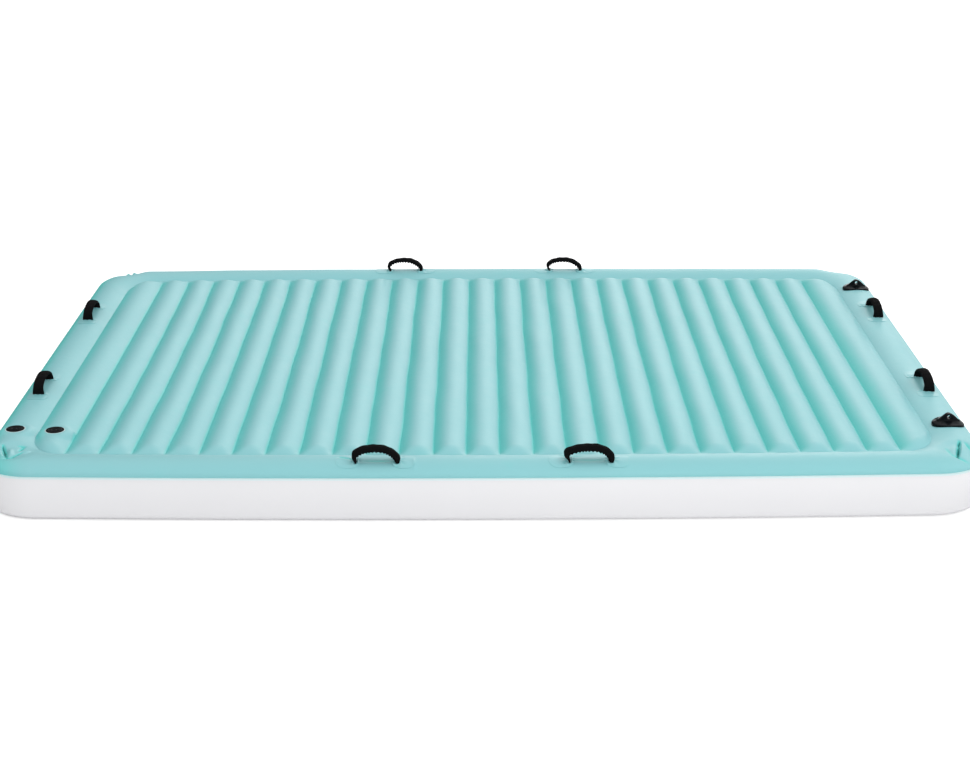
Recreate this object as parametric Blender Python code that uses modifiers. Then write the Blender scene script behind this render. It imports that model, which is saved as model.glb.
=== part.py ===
"""A giant inflatable floating mat, as a Blender model.

A ribbed, air-filled core lies inside an air-filled rim. Both are thin welded vinyl sheets, so each
sheet is an open surface with a thickness. The rim carries eight grab handles on welded patches and
two tow lugs, and each air chamber has its own valve. Metres, +Z up, +X along the mat, -Y at the
front, and the origin on the ground under the middle of the mat.
"""

import math

import bmesh
import bpy
import numpy as np
from mathutils import Matrix, Vector

# Overall sizes
LENGTH = 2.90
WIDTH = 2.13
HEIGHT = 0.174
RIM_WIDTH = 0.133
OUTER_CORNER_RADIUS = 0.17
LONG_SIDE_BOW = 0.020
SHEET = 0.0006
GAP = 0.0003

# Section of the rim
TOP_SEAM_HEIGHT = 0.137
BOTTOM_SEAM_HEIGHT = 0.022
BAND_BULGE = 0.006
GROOVE_DEPTH = 0.018
RIM_CROWN_SHARE = 0.5
REST_STRIP_SHARE = 0.4
TOP_ARC_STEPS = 3
BOTTOM_ARC_STEPS = 2
BAND_STEPS = 4
CORNER_STEPS = 4
LONG_STATION_SHARES = (-0.667, -0.333, 0.0, 0.333, 0.667)

# Ribs of the core
RIB_COUNT = 27
END_RIB_WIDTH = 0.112
RIB_RISE = 0.021
CROWN_DROP = 0.003
RIB_END_ROUND = 0.100
RIB_SPANS = 4
TOP_ROUND_SHARES = (0.33, 0.67, 1.0)
BOTTOM_ROUND_SHARES = (1.0,)
WEB_END_GAP = 0.020

# Grab handles and their patches
LONG_SIDE_HANDLE_SPAN = 0.140
END_HANDLE_SPAN = 0.161
HANDLE_HEIGHT = 0.048
HANDLE_WIDTH = 0.031
HANDLE_THICKNESS = 0.015
HANDLE_FOOT_RADIUS = 0.006
HANDLE_TILT = math.radians(60)
HANDLE_ARCH_STEPS = 12
HANDLE_EDGE_SHARE = 0.55
FOOT_ANGLES = (math.radians(75), math.radians(40))
PATCH_LENGTH = 0.072
PATCH_WIDTH = 0.064
PATCH_CORNER = 0.026
PATCH_INSIDE_FOOT = 0.020
PATCH_THICKNESS = 0.0008
HANDLE_PLACE_SHARES = {
    "front": {"left": -0.209, "right": 0.2065},
    "back": {"left": -0.202, "right": 0.2165},
    "left": {"front": -0.334, "back": 0.408},
    "right": {"front": -0.338, "back": 0.4065},
}
HANDLE_ROW_SHARES = {"front": 0.37, "back": 0.5, "left": 0.5, "right": 0.5}

# Tow lugs
LUG_PLACE_SHARES = {"front": -0.672, "back": 0.694}
LUG_LENGTH = 0.096
LUG_WIDTH = 0.088
LUG_FLANGE = 0.0025
LUG_HEIGHT = 0.028
LUG_FIN_LENGTH = 0.062
LUG_FIN_THICKNESS = 0.009
LUG_BOSS_RADIUS = 0.010
LUG_BOSS_THICKNESS = 0.014
LUG_EYE_RADIUS = 0.0055
LUG_ARC_STEPS = 6
OVAL_SIDES = 20

# Valves, with heights from the crown of the sheet that carries each
VALVE_FROM_FRONT = {"rim": 0.318, "core": 0.306}
VALVE_RADIUS = 0.027
VALVE_BORE_RADIUS = 0.0205
VALVE_DEPTH = 0.030
INSERT_RISE = 0.0022
INSERT_FLANGE = 0.0028
INSERT_WALL = 0.0025
INSERT_LENGTH = 0.026
INSERT_FLOOR = 0.0024
INSERT_BORE_RADIUS = 0.0088
INSERT_NECK_WALL = 0.0024
INSERT_NECK_LENGTH = 0.014
CAP_SEAT_DEPTH = 0.0020
CAP_RADIUS = 0.0128
CAP_THICKNESS = 0.0028
CAP_EDGE_WIDTH = 0.0048
CAP_DISH_DEPTH = 0.0010
PLUG_TAPER = 0.0014
PLUG_LENGTH = 0.005
CAP_STRAP_LENGTH = 0.0047
CAP_STRAP_WIDTH = 0.008
CAP_STRAP_THICKNESS = 0.0010
FLAP_THICKNESS = 0.0012
SEAL_CORD_RADIUS = 0.0009
VALVE_SIDES = 20
SEAL_SIDES = 16
SEAL_CORD_SIDES = 6

WELD = 0.00001
OVERRUN = 0.010

# Places worked out from those sizes
HALF_LENGTH = LENGTH / 2
HALF_WIDTH = WIDTH / 2
CORE_HALF_LENGTH = HALF_LENGTH - RIM_WIDTH
CORE_HALF_WIDTH = HALF_WIDTH - RIM_WIDTH
CORE_STRAIGHT = CORE_HALF_LENGTH - END_RIB_WIDTH
OUTER_STRAIGHT = HALF_LENGTH - OUTER_CORNER_RADIUS
LONG_STATIONS = [share * CORE_STRAIGHT for share in LONG_STATION_SHARES]
RIB_PITCH = 2 * CORE_STRAIGHT / (RIB_COUNT - 2)
GROOVE_HEIGHT = HEIGHT - GROOVE_DEPTH
CORE_CROWN_HEIGHT = HEIGHT - CROWN_DROP
VALLEY_HEIGHT = CORE_CROWN_HEIGHT - RIB_RISE
END_RIB_CROWN_HEIGHT = (GROOVE_HEIGHT + VALLEY_HEIGHT) / 2 + RIB_RISE
HANDLE_AXIS_RISE = GAP + PATCH_THICKNESS + GAP + HANDLE_FOOT_RADIUS
INSERT_SEAT = INSERT_RISE - INSERT_FLANGE
INSERT_BARREL_RADIUS = VALVE_BORE_RADIUS - GAP
INSERT_NECK_RADIUS = INSERT_BORE_RADIUS + INSERT_NECK_WALL
VALVE_TOP = INSERT_SEAT - 2 * (SEAL_CORD_RADIUS + GAP)
SEAL_RADIUS = (VALVE_BORE_RADIUS + VALVE_RADIUS) / 2
CAP_SEAT = INSERT_RISE - CAP_SEAT_DEPTH
PLUG_RADIUS = INSERT_BORE_RADIUS - GAP
CAP_HINGE_LATERAL = CAP_RADIUS + CAP_STRAP_LENGTH
CAP_HINGE_HEIGHT = INSERT_RISE + GAP + CAP_STRAP_THICKNESS / math.sqrt(2)
EYE_HEIGHT = LUG_HEIGHT - LUG_BOSS_RADIUS


def start_scene():
    """Clears the scene and makes the model's collection and the cutters' collection."""
    for item in list(bpy.data.objects):
        bpy.data.objects.remove(item)
    made = []
    for name in ("floating_mat", "cutters"):
        folder = bpy.data.collections.new(name)
        bpy.context.scene.collection.children.link(folder)
        made.append(folder)
    return made


MODEL, CUTTERS = start_scene()


def material(name, colour, roughness):
    made = bpy.data.materials.new(name)
    made.use_nodes = True
    surface = made.node_tree.nodes["Principled BSDF"]
    surface.inputs["Base Color"].default_value = (*colour, 1)
    surface.inputs["Roughness"].default_value = roughness
    surface.inputs["Metallic"].default_value = 0.0
    made.diffuse_color = (*colour, 1)
    return made


TEAL_VINYL = ((0.27, 0.63, 0.66), 0.38)
WHITE_VINYL = ((0.80, 0.80, 0.82), 0.38)
BLACK_WEBBING = ((0.008, 0.008, 0.009), 0.75)
BLACK_PLASTIC = ((0.006, 0.007, 0.008), 0.25)
BLACK_RUBBER = ((0.012, 0.012, 0.012), 0.55)


def new_object(name, mesh, finish=None):
    """An object in the model's collection, or a hidden cutter when it has no finish."""
    made = bpy.data.objects.new(name, mesh)
    if finish is None:
        CUTTERS.objects.link(made)
        made.hide_render = True
        made.display_type = "WIRE"
        return made
    MODEL.objects.link(made)
    mesh.materials.clear()
    mesh.materials.append(material(name, *finish))
    return made


def mesh_from(name, points, faces, closed):
    """A mesh from points and faces; a closed one has its normals turned outwards."""
    mesh = bpy.data.meshes.new(name)
    mesh.from_pydata([tuple(point) for point in points], [], faces)
    work = bmesh.new()
    work.from_mesh(mesh)
    if closed:
        bmesh.ops.recalc_face_normals(work, faces=work.faces)
    work.to_mesh(mesh)
    work.free()
    return mesh


def thicken(target, thickness, offset):
    wall = target.modifiers.new("thickness", "SOLIDIFY")
    wall.thickness = thickness
    wall.offset = offset
    wall.use_even_offset = True


def combine(target, tool, operation):
    step = target.modifiers.new(operation.lower(), "BOOLEAN")
    step.operation = operation
    step.solver = "EXACT"
    step.object = tool


def smooth_rounds(mesh):
    mesh.shade_smooth()
    mesh.set_sharp_from_angle(angle=math.radians(30))


def rounded_rectangle(half_x, half_y, radius, steps):
    """Points anticlockwise from the end of the +X side, with arcs at the corners."""
    points = []
    for corner, (side_x, side_y) in enumerate(((1, 1), (-1, 1), (-1, -1), (1, -1))):
        for step in range(steps + 1):
            angle = math.pi / 2 * (corner + step / steps)
            points.append(
                Vector((
                    side_x * (half_x - radius) + radius * math.cos(angle),
                    side_y * (half_y - radius) + radius * math.sin(angle),
                ))
            )
    return points


def side_reach(x, half_width, bow):
    """How far a long side stands out from the middle line, which is least at its ends."""
    return half_width - bow * (x / OUTER_STRAIGHT) ** 2


def mat_outline(half_x, half_y, radius, bow=0.0):
    """A rounded rectangle with extra points along its long sides, which may bow outwards."""
    corners = rounded_rectangle(half_x, half_y - bow, radius, CORNER_STEPS)
    count = CORNER_STEPS + 1
    back = [Vector((x, side_reach(x, half_y, bow))) for x in reversed(LONG_STATIONS)]
    front = [Vector((x, -side_reach(x, half_y, bow))) for x in LONG_STATIONS]
    return corners[:count] + back + corners[count : 3 * count] + front + corners[3 * count :]


def outer_outline(inset):
    return mat_outline(
        HALF_LENGTH - inset, HALF_WIDTH - inset, OUTER_CORNER_RADIUS - inset, LONG_SIDE_BOW
    )


def groove_outline(outset):
    return mat_outline(
        CORE_HALF_LENGTH + outset, CORE_HALF_WIDTH + outset, END_RIB_WIDTH + outset, LONG_SIDE_BOW
    )


def ring_sheet(name, rings, finish, thickness=SHEET, offset=-1):
    """A sheet through closed rings. Its outer face looks up where each ring lies inside the last."""
    count = len(rings[0])
    points = [point for ring in rings for point in ring]
    faces = []
    for row in range(len(rings) - 1):
        for i in range(count):
            after = (i + 1) % count
            low, high = row * count, (row + 1) * count
            faces.append((low + i, low + after, high + after, high + i))
    made = new_object(name, mesh_from(name, points, faces, closed=False), finish)
    thicken(made, thickness, offset)
    return made


def between(outer, inner, share, height):
    return [Vector((*a.lerp(b, share), height)) for a, b in zip(outer, inner)]


def rim_top_rows():
    """Share of the rim's width from outside, and height, for each row of its upper sheet."""
    rows = []
    for step in range(TOP_ARC_STEPS + 1):
        angle = math.pi / 2 * step / TOP_ARC_STEPS
        share = RIM_CROWN_SHARE * (1 - math.cos(angle))
        rows.append((share, TOP_SEAM_HEIGHT + (HEIGHT - TOP_SEAM_HEIGHT) * math.sin(angle)))
    for step in range(1, TOP_ARC_STEPS + 1):
        angle = math.pi / 2 * (1 - step / TOP_ARC_STEPS)
        share = 1 - (1 - RIM_CROWN_SHARE) * (1 - math.cos(angle))
        rows.append((share, GROOVE_HEIGHT + GROOVE_DEPTH * math.sin(angle)))
    return rows


def rim_bottom_rows():
    """The same for the lower sheet, from the groove outwards, flat where it lies on the ground."""
    arc_share = (1 - REST_STRIP_SHARE) / 2
    rows = []
    for step in range(BOTTOM_ARC_STEPS + 1):
        angle = math.pi / 2 * step / BOTTOM_ARC_STEPS
        rows.append((1 - arc_share * (1 - math.cos(angle)), GROOVE_DEPTH * (1 - math.sin(angle))))
    for step in range(BOTTOM_ARC_STEPS + 1):
        angle = math.pi / 2 * (1 - step / BOTTOM_ARC_STEPS)
        rows.append((arc_share * (1 - math.cos(angle)), BOTTOM_SEAM_HEIGHT * (1 - math.sin(angle))))
    return rows


def build_rim():
    """The rim's upper sheet, white side band and lower sheet, and the wall between the chambers."""
    seam = outer_outline(BAND_BULGE)
    groove = groove_outline(GAP / 2)
    top = ring_sheet(
        "rim_top_sheet",
        [between(seam, groove, share, height) for share, height in rim_top_rows()],
        TEAL_VINYL,
    )
    ring_sheet(
        "rim_bottom_sheet",
        [between(seam, groove, share, height) for share, height in rim_bottom_rows()],
        WHITE_VINYL,
    )
    band = []
    low, high = BOTTOM_SEAM_HEIGHT + SHEET, TOP_SEAM_HEIGHT - GAP
    for step in range(BAND_STEPS + 1):
        share = step / BAND_STEPS
        edge = outer_outline(BAND_BULGE * (2 * share - 1) ** 2)
        band.append([Vector((*point, low + (high - low) * share)) for point in edge])
    ring_sheet("side_band", band, WHITE_VINYL)
    edge = groove_outline(0)
    clear = SHEET + GAP
    wall = [
        [Vector((*point, height)) for point in edge]
        for height in (GROOVE_DEPTH + clear, GROOVE_HEIGHT - clear)
    ]
    ring_sheet("chamber_wall", wall, WHITE_VINYL, offset=0)
    return top


def core_columns():
    """Place along the core, reach of its edge, valley and arch share of every column of points.

    The end ribs' columns are spaced by angle, so that they also round the core's corners.
    """
    radius = END_RIB_WIDTH - GAP / 2
    middle = CORE_HALF_WIDTH - LONG_SIDE_BOW - END_RIB_WIDTH
    stations = [-CORE_STRAIGHT, *LONG_STATIONS, CORE_STRAIGHT]
    reaches = [side_reach(x, CORE_HALF_WIDTH - GAP / 2, LONG_SIDE_BOW) for x in LONG_STATIONS]
    reaches = [middle + radius, *reaches, middle + radius]
    end = []
    for step in range(RIB_SPANS):
        angle = math.pi / 2 * step / RIB_SPANS
        share = 1 - math.cos(angle)
        reach = middle + radius * math.sin(angle)
        end.append((CORE_STRAIGHT + radius * math.cos(angle), reach, share, 4 * share * (1 - share)))
    columns = [(-x, reach, valley, arch) for x, reach, valley, arch in end]
    for rib in range(RIB_COUNT - 2):
        for span in range(RIB_SPANS):
            share = span / RIB_SPANS
            x = RIB_PITCH * (rib + share) - CORE_STRAIGHT
            columns.append((x, np.interp(x, stations, reaches), 1, 4 * share * (1 - share)))
    columns.append((CORE_STRAIGHT, middle + radius, 1, 0))
    return columns + end[::-1]


def core_points(round_shares, flip):
    """Rows of points from the front edge to the back one, and which of them each row keeps."""
    rows = []
    offsets = [0.0] + [share * RIB_END_ROUND for share in round_shares]
    sides = [(-1, offset) for offset in offsets] + [(1, offset) for offset in reversed(offsets)]
    for side, offset in sides:
        share = offset / RIB_END_ROUND
        rise_share = share**2 * (3 - 2 * share)
        row = []
        for number, (x, reach, valley, arch) in enumerate(core_columns()):
            in_end_rib = not RIB_SPANS < number < len(core_columns()) - 1 - RIB_SPANS
            if offset == 0 and not in_end_rib and number % RIB_SPANS:
                row.append(None)
                continue
            rise = valley * (VALLEY_HEIGHT - GROOVE_HEIGHT) + arch * RIB_RISE
            height = GROOVE_HEIGHT + rise_share * rise
            row.append(Vector((x, side * (reach - offset), HEIGHT - height if flip else height)))
        rows.append(row)
    return rows


def core_faces(rows, numbers):
    """Quads between full rows. At an edge each middle rib closes in a fan on its two valleys."""
    faces = []
    for low, high in zip(numbers, numbers[1:]):
        for i in range(len(low) - 1):
            corners = (low[i], low[i + 1], high[i + 1], high[i])
            if None not in corners:
                faces.append(corners)
        edge, full, at_front = (low, high, True) if None in low else (high, low, False)
        if None not in edge:
            continue
        for first in range(RIB_SPANS, len(edge) - 1 - RIB_SPANS, RIB_SPANS):
            half = first + RIB_SPANS // 2
            last = first + RIB_SPANS
            fan = [(edge[first], full[i + 1], full[i]) for i in range(first, half)]
            fan.append((edge[first], edge[last], full[half]))
            fan += [(edge[last], full[i + 1], full[i]) for i in range(half, last)]
            faces += fan if at_front else [face[::-1] for face in fan]
    return faces


def core_sheet(name, round_shares, flip, finish):
    """A ribbed sheet of the core: ribs with sharp valleys, which sink to the groove at their ends."""
    rows = core_points(round_shares, flip)
    points = []
    numbers = []
    for row in rows:
        line = []
        for point in row:
            line.append(None if point is None else len(points))
            if point is not None:
                points.append(point)
        numbers.append(line)
    faces = core_faces(rows, numbers)
    if flip:
        faces = [face[::-1] for face in faces]
    made = new_object(name, mesh_from(name, points, faces, closed=False), finish)
    thicken(made, SHEET, -1)
    return made


def build_webs():
    """The upright webs, one under each valley, that hold the core's two sheets together."""
    half_length = CORE_HALF_WIDTH - LONG_SIDE_BOW - RIB_END_ROUND - WEB_END_GAP
    low = HEIGHT - VALLEY_HEIGHT + SHEET / 2
    high = VALLEY_HEIGHT - 2 * SHEET
    work = bmesh.new()
    for number in range(RIB_COUNT - 1):
        x = RIB_PITCH * number - CORE_STRAIGHT
        size = Matrix.Diagonal((SHEET, 2 * half_length, high - low, 1))
        bmesh.ops.create_cube(
            work, size=1, matrix=Matrix.Translation((x, 0, (low + high) / 2)) @ size
        )
    mesh = bpy.data.meshes.new("webs")
    work.to_mesh(mesh)
    work.free()
    return new_object("webs", mesh)


def build_core():
    top = core_sheet("core_top_sheet", TOP_ROUND_SHARES, False, TEAL_VINYL)
    bottom = core_sheet("core_bottom_sheet", BOTTOM_ROUND_SHARES, True, WHITE_VINYL)
    combine(bottom, build_webs(), "UNION")
    return top


def extruded(name, outline, thickness, matrix):
    """A hidden closed solid: a flat outline, extruded, then placed by a matrix."""
    curve = bpy.data.curves.new(name, "CURVE")
    curve.dimensions = "2D"
    curve.fill_mode = "BOTH"
    curve.extrude = thickness / 2
    line = curve.splines.new("POLY")
    line.points.add(len(outline) - 1)
    line.use_cyclic_u = True
    for point, place in zip(line.points, outline):
        point.co = (place[0], place[1], 0, 1)
    flat = bpy.data.objects.new(name, curve)
    CUTTERS.objects.link(flat)
    graph = bpy.context.evaluated_depsgraph_get()
    mesh = bpy.data.meshes.new_from_object(flat.evaluated_get(graph))
    bpy.data.objects.remove(flat)
    work = bmesh.new()
    work.from_mesh(mesh)
    bmesh.ops.remove_doubles(work, verts=work.verts, dist=WELD)
    bmesh.ops.recalc_face_normals(work, faces=work.faces)
    work.to_mesh(mesh)
    work.free()
    made = new_object(name, mesh)
    made.matrix_world = matrix
    return made


def rim_lateral(side, along, share):
    """Distance from the mat's middle line out to a row of the rim's upper sheet."""
    if side in ("left", "right"):
        outer, inner = HALF_LENGTH - BAND_BULGE, CORE_HALF_LENGTH
    else:
        outer, inner = (
            np.interp(along, LONG_STATIONS, [side_reach(x, half, LONG_SIDE_BOW) for x in LONG_STATIONS])
            for half in (HALF_WIDTH - BAND_BULGE, CORE_HALF_WIDTH)
        )
    return outer + (inner - outer) * share


def rim_height(share):
    """Height of the rim's upper sheet at a share of the rim's width from outside."""
    shares, heights = zip(*rim_top_rows())
    return np.interp(share, shares, heights)


def on_side(side, along, lateral, height):
    places = {
        "front": (along, -lateral, height),
        "back": (along, lateral, height),
        "left": (-lateral, along, height),
        "right": (lateral, along, height),
    }
    return Vector(places[side])


def rim_plate(name, side, along, row_share, outline, thickness, finish):
    """A plate that follows the rim's upper sheet, cut to an outline seen from above."""
    half = max(abs(value) for point in outline for value in point) + OVERRUN
    rows = rim_top_rows()
    points = []
    for share, height in rows:
        for place in (along - half, along + half):
            lateral = rim_lateral(side, place, share)
            points.append(on_side(side, place, lateral, height + GAP))
    faces = [(2 * i, 2 * i + 1, 2 * i + 3, 2 * i + 2) for i in range(len(rows) - 1)]
    if side in ("left", "back"):
        faces = [face[::-1] for face in faces]
    plate = new_object(name, mesh_from(name, points, faces, closed=False), finish)
    thicken(plate, thickness, 1)
    lateral = rim_lateral(side, along, row_share)
    middle = Matrix.Translation(on_side(side, along, lateral, HEIGHT))
    combine(plate, extruded(name + "_outline", outline, HEIGHT, middle), "INTERSECT")
    return plate


def handle_sections(foot_lateral):
    """Middle, normal and half width of each section along a handle, seen from its foot axis."""
    rise = HANDLE_HEIGHT - HANDLE_THICKNESS / 2 - HANDLE_AXIS_RISE
    foot = [(Vector((-foot_lateral, 0, -HANDLE_FOOT_RADIUS * math.sin(a))), Vector((-1, 0, 0)))
            for a in FOOT_ANGLES]
    path = list(foot)
    for step in range(HANDLE_ARCH_STEPS + 1):
        angle = math.pi * step / HANDLE_ARCH_STEPS
        middle = Vector((-foot_lateral * math.cos(angle), 0, rise * math.sin(angle)))
        normal = Vector((-rise * math.cos(angle), 0, foot_lateral * math.sin(angle)))
        path.append((middle, normal.normalized()))
    mirror = Matrix.Diagonal((-1, 1, 1))
    path += [(mirror @ middle, mirror @ normal) for middle, normal in reversed(foot)]
    sections = []
    for middle, normal in path:
        if middle.z < 0:
            half = math.sqrt(HANDLE_FOOT_RADIUS**2 - middle.z**2)
        else:
            flare = HANDLE_FOOT_RADIUS + middle.z / math.tan(HANDLE_TILT)
            half = min(HANDLE_WIDTH / 2, flare)
        sections.append((middle, normal, half))
    return sections


def handle_mesh(foot_lateral):
    """An arched grip whose feet narrow to a round end, so that it tips both ways on the rim."""
    points = []
    half_thick = HANDLE_THICKNESS / 2
    for middle, normal, half in handle_sections(foot_lateral):
        edge = HANDLE_EDGE_SHARE * min(half, half_thick)
        ring = [
            (half, half_thick - edge), (half - edge, half_thick),
            (edge - half, half_thick), (-half, half_thick - edge),
            (-half, edge - half_thick), (edge - half, -half_thick),
            (half - edge, -half_thick), (half, edge - half_thick),
        ]
        points += [middle + Vector((0, across, 0)) + normal * out for across, out in ring]
    count = len(ring)
    rows = len(points) // count
    faces = [tuple(range(count)), tuple(range(len(points) - count, len(points)))]
    for row in range(rows - 1):
        for i in range(count):
            after = (i + 1) % count
            low, high = row * count, (row + 1) * count
            faces.append((low + i, low + after, high + after, high + i))
    mesh = mesh_from("handle", points, faces, closed=True)
    smooth_rounds(mesh)
    return mesh


def side_half(side):
    return HALF_WIDTH if side in ("left", "right") else HALF_LENGTH


def build_handles():
    """Each handle has its origin midway between its feet, on the line that it tips about."""
    for side, places in HANDLE_PLACE_SHARES.items():
        turn = math.radians(90) if side in ("left", "right") else 0.0
        span = END_HANDLE_SPAN if turn else LONG_SIDE_HANDLE_SPAN
        foot_lateral = span / 2 - HANDLE_THICKNESS / 2
        row = HANDLE_ROW_SHARES[side]
        patch_size = (PATCH_WIDTH, PATCH_LENGTH) if turn else (PATCH_LENGTH, PATCH_WIDTH)
        outline = rounded_rectangle(patch_size[0] / 2, patch_size[1] / 2, PATCH_CORNER, CORNER_STEPS)
        for end, share in places.items():
            along = share * side_half(side)
            lateral = rim_lateral(side, along, row)
            name = f"handle_{side}_{end}"
            grip = new_object(name, handle_mesh(foot_lateral), BLACK_WEBBING)
            grip.location = on_side(side, along, lateral, rim_height(row) + HANDLE_AXIS_RISE)
            grip.rotation_euler = (0, 0, turn)
            reach = foot_lateral - PATCH_INSIDE_FOOT + PATCH_LENGTH / 2
            for number, way in ((1, -1), (2, 1)):
                rim_plate(
                    f"patch_{side}_{end}_{number}", side, along + way * reach, row, outline,
                    PATCH_THICKNESS, TEAL_VINYL,
                )


def lug_fin_outline():
    """The fin seen along the mat's width: a round top about the eye, and straight flanks."""
    half = LUG_FIN_LENGTH / 2
    rows = rim_top_rows()
    laterals = [rim_lateral("right", 0.0, share) for share, _ in rows]
    heights = [height - HEIGHT for _, height in rows]
    crown = rim_lateral("right", 0.0, RIM_CROWN_SHARE)
    sunk = GAP + LUG_FLANGE / 2

    def foot(x):
        return np.interp(crown + x, laterals[::-1], heights[::-1]) + sunk

    points = [(-half, foot(-half)), (0.0, sunk), (half, foot(half))]
    away = math.hypot(half, EYE_HEIGHT)
    lean = math.atan2(EYE_HEIGHT, half) + math.asin(LUG_BOSS_RADIUS / away)
    start = math.pi / 2 - lean
    for step in range(LUG_ARC_STEPS + 1):
        angle = start + (math.pi - 2 * start) * step / LUG_ARC_STEPS
        points.append((
            LUG_BOSS_RADIUS * math.cos(angle),
            EYE_HEIGHT + LUG_BOSS_RADIUS * math.sin(angle),
        ))
    return points


def round_tool(name, radius, depth, place, axis_turn):
    bpy.ops.mesh.primitive_cylinder_add(
        vertices=VALVE_SIDES, radius=radius, depth=depth, location=place, rotation=axis_turn
    )
    made = bpy.context.object
    for folder in list(made.users_collection):
        folder.objects.unlink(made)
    CUTTERS.objects.link(made)
    made.name = name
    made.hide_render = True
    made.display_type = "WIRE"
    return made


def build_lugs():
    """Each lug is a flange on the rim, a fin across the rim and an eye through the fin."""
    oval = [
        Vector((math.cos(angle) * LUG_LENGTH / 2, math.sin(angle) * LUG_WIDTH / 2))
        for angle in (2 * math.pi * step / OVAL_SIDES for step in range(OVAL_SIDES))
    ]
    upright = Matrix.Rotation(math.radians(90), 4, "X")
    lying = (math.radians(90), 0, 0)
    for end, share in LUG_PLACE_SHARES.items():
        along = share * side_half("right")
        lateral = rim_lateral("right", along, RIM_CROWN_SHARE)
        name = f"tow_lug_{end}"
        lug = rim_plate(name, "right", along, RIM_CROWN_SHARE, oval, LUG_FLANGE, BLACK_PLASTIC)
        crown = Matrix.Translation(on_side("right", along, lateral, HEIGHT))
        fin = extruded(name + "_fin", lug_fin_outline(), LUG_FIN_THICKNESS, crown @ upright)
        combine(lug, fin, "UNION")
        eye = on_side("right", along, lateral, HEIGHT + EYE_HEIGHT)
        boss = round_tool(name + "_boss", LUG_BOSS_RADIUS, LUG_BOSS_THICKNESS, eye, lying)
        combine(lug, boss, "UNION")
        hole = round_tool(
            name + "_eye", LUG_EYE_RADIUS, LUG_BOSS_THICKNESS + OVERRUN, eye, lying
        )
        combine(lug, hole, "DIFFERENCE")


def turned(name, profile, finish):
    """A turned shape. Its profile runs down the outer side, and closes on itself off the axis."""
    mesh = bpy.data.meshes.new(name)
    on_axis = profile[0][0] == 0
    edges = [(i, i + 1) for i in range(len(profile) - 1)]
    if not on_axis:
        edges.append((len(profile) - 1, 0))
    mesh.from_pydata([(radius, 0, height) for radius, height in profile], edges, [])
    made = new_object(name, mesh, finish)
    spin = made.modifiers.new("turn", "SCREW")
    spin.steps = VALVE_SIDES
    spin.render_steps = VALVE_SIDES
    spin.use_merge_vertices = on_axis
    spin.merge_threshold = WELD
    return made


def empty_at(name, place, parent=None):
    made = bpy.data.objects.new(name, None)
    MODEL.objects.link(made)
    made.parent = parent
    made.location = place
    return made


def carry(child, parent, place=(0, 0, 0)):
    child.parent = parent
    child.location = place


def cap_strap_outline(under):
    """The strap from the cap's edge to its hinge, seen from the side, above the cap's underside."""
    inner = CAP_RADIUS - CAP_EDGE_WIDTH / 2
    edge = math.sqrt(CAP_RADIUS**2 - (CAP_STRAP_WIDTH / 2) ** 2)
    outer = CAP_HINGE_LATERAL + CAP_STRAP_THICKNESS / 2
    high = CAP_HINGE_HEIGHT + CAP_STRAP_THICKNESS / 2 - under
    bridge = high - CAP_STRAP_THICKNESS
    return [
        (inner, CAP_THICKNESS / 2), (edge, CAP_THICKNESS / 2), (edge, bridge),
        (outer, bridge), (outer, high), (inner, high),
    ]


def build_cap(prefix, insert):
    """A dished cap with a tapered plug under it, on a strap that hinges on the insert's flange."""
    dish = CAP_THICKNESS - CAP_DISH_DEPTH
    dish_edge = CAP_RADIUS - CAP_EDGE_WIDTH
    cap = turned(
        prefix + "_valve_cap",
        [
            (0, dish), (dish_edge - CAP_DISH_DEPTH, dish), (dish_edge, CAP_THICKNESS),
            (CAP_RADIUS, CAP_THICKNESS), (CAP_RADIUS, 0), (PLUG_RADIUS, 0),
            (PLUG_RADIUS - PLUG_TAPER, -PLUG_LENGTH), (0, -PLUG_LENGTH),
        ],
        BLACK_PLASTIC,
    )
    under = CAP_SEAT + GAP
    hinge_place = (0, CAP_HINGE_LATERAL, CAP_HINGE_HEIGHT)
    hinge = empty_at(prefix + "_valve_cap_hinge", hinge_place, insert)
    carry(cap, hinge, (0, -CAP_HINGE_LATERAL, under - CAP_HINGE_HEIGHT))
    strap = extruded(
        prefix + "_valve_cap_strap", cap_strap_outline(under), CAP_STRAP_WIDTH, Matrix.Identity(4)
    )
    strap.parent = cap
    strap.matrix_local = (
        Matrix.Rotation(math.radians(90), 4, "Z") @ Matrix.Rotation(math.radians(90), 4, "X")
    )
    combine(cap, strap, "UNION")


def build_flap(prefix, insert):
    """A soft disc as wide as the insert's neck, under it, which opens inwards about its edge."""
    top = INSERT_RISE - INSERT_NECK_LENGTH - GAP
    hinge = empty_at(prefix + "_valve_flap_hinge", (0, INSERT_NECK_RADIUS, top), insert)
    bpy.ops.mesh.primitive_cylinder_add(
        vertices=VALVE_SIDES, radius=INSERT_NECK_RADIUS, depth=FLAP_THICKNESS
    )
    mesh = bpy.context.object.data
    bpy.data.objects.remove(bpy.context.object)
    flap = new_object(prefix + "_valve_flap", mesh, BLACK_RUBBER)
    carry(flap, hinge, (0, -INSERT_NECK_RADIUS, -FLAP_THICKNESS / 2))


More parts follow.
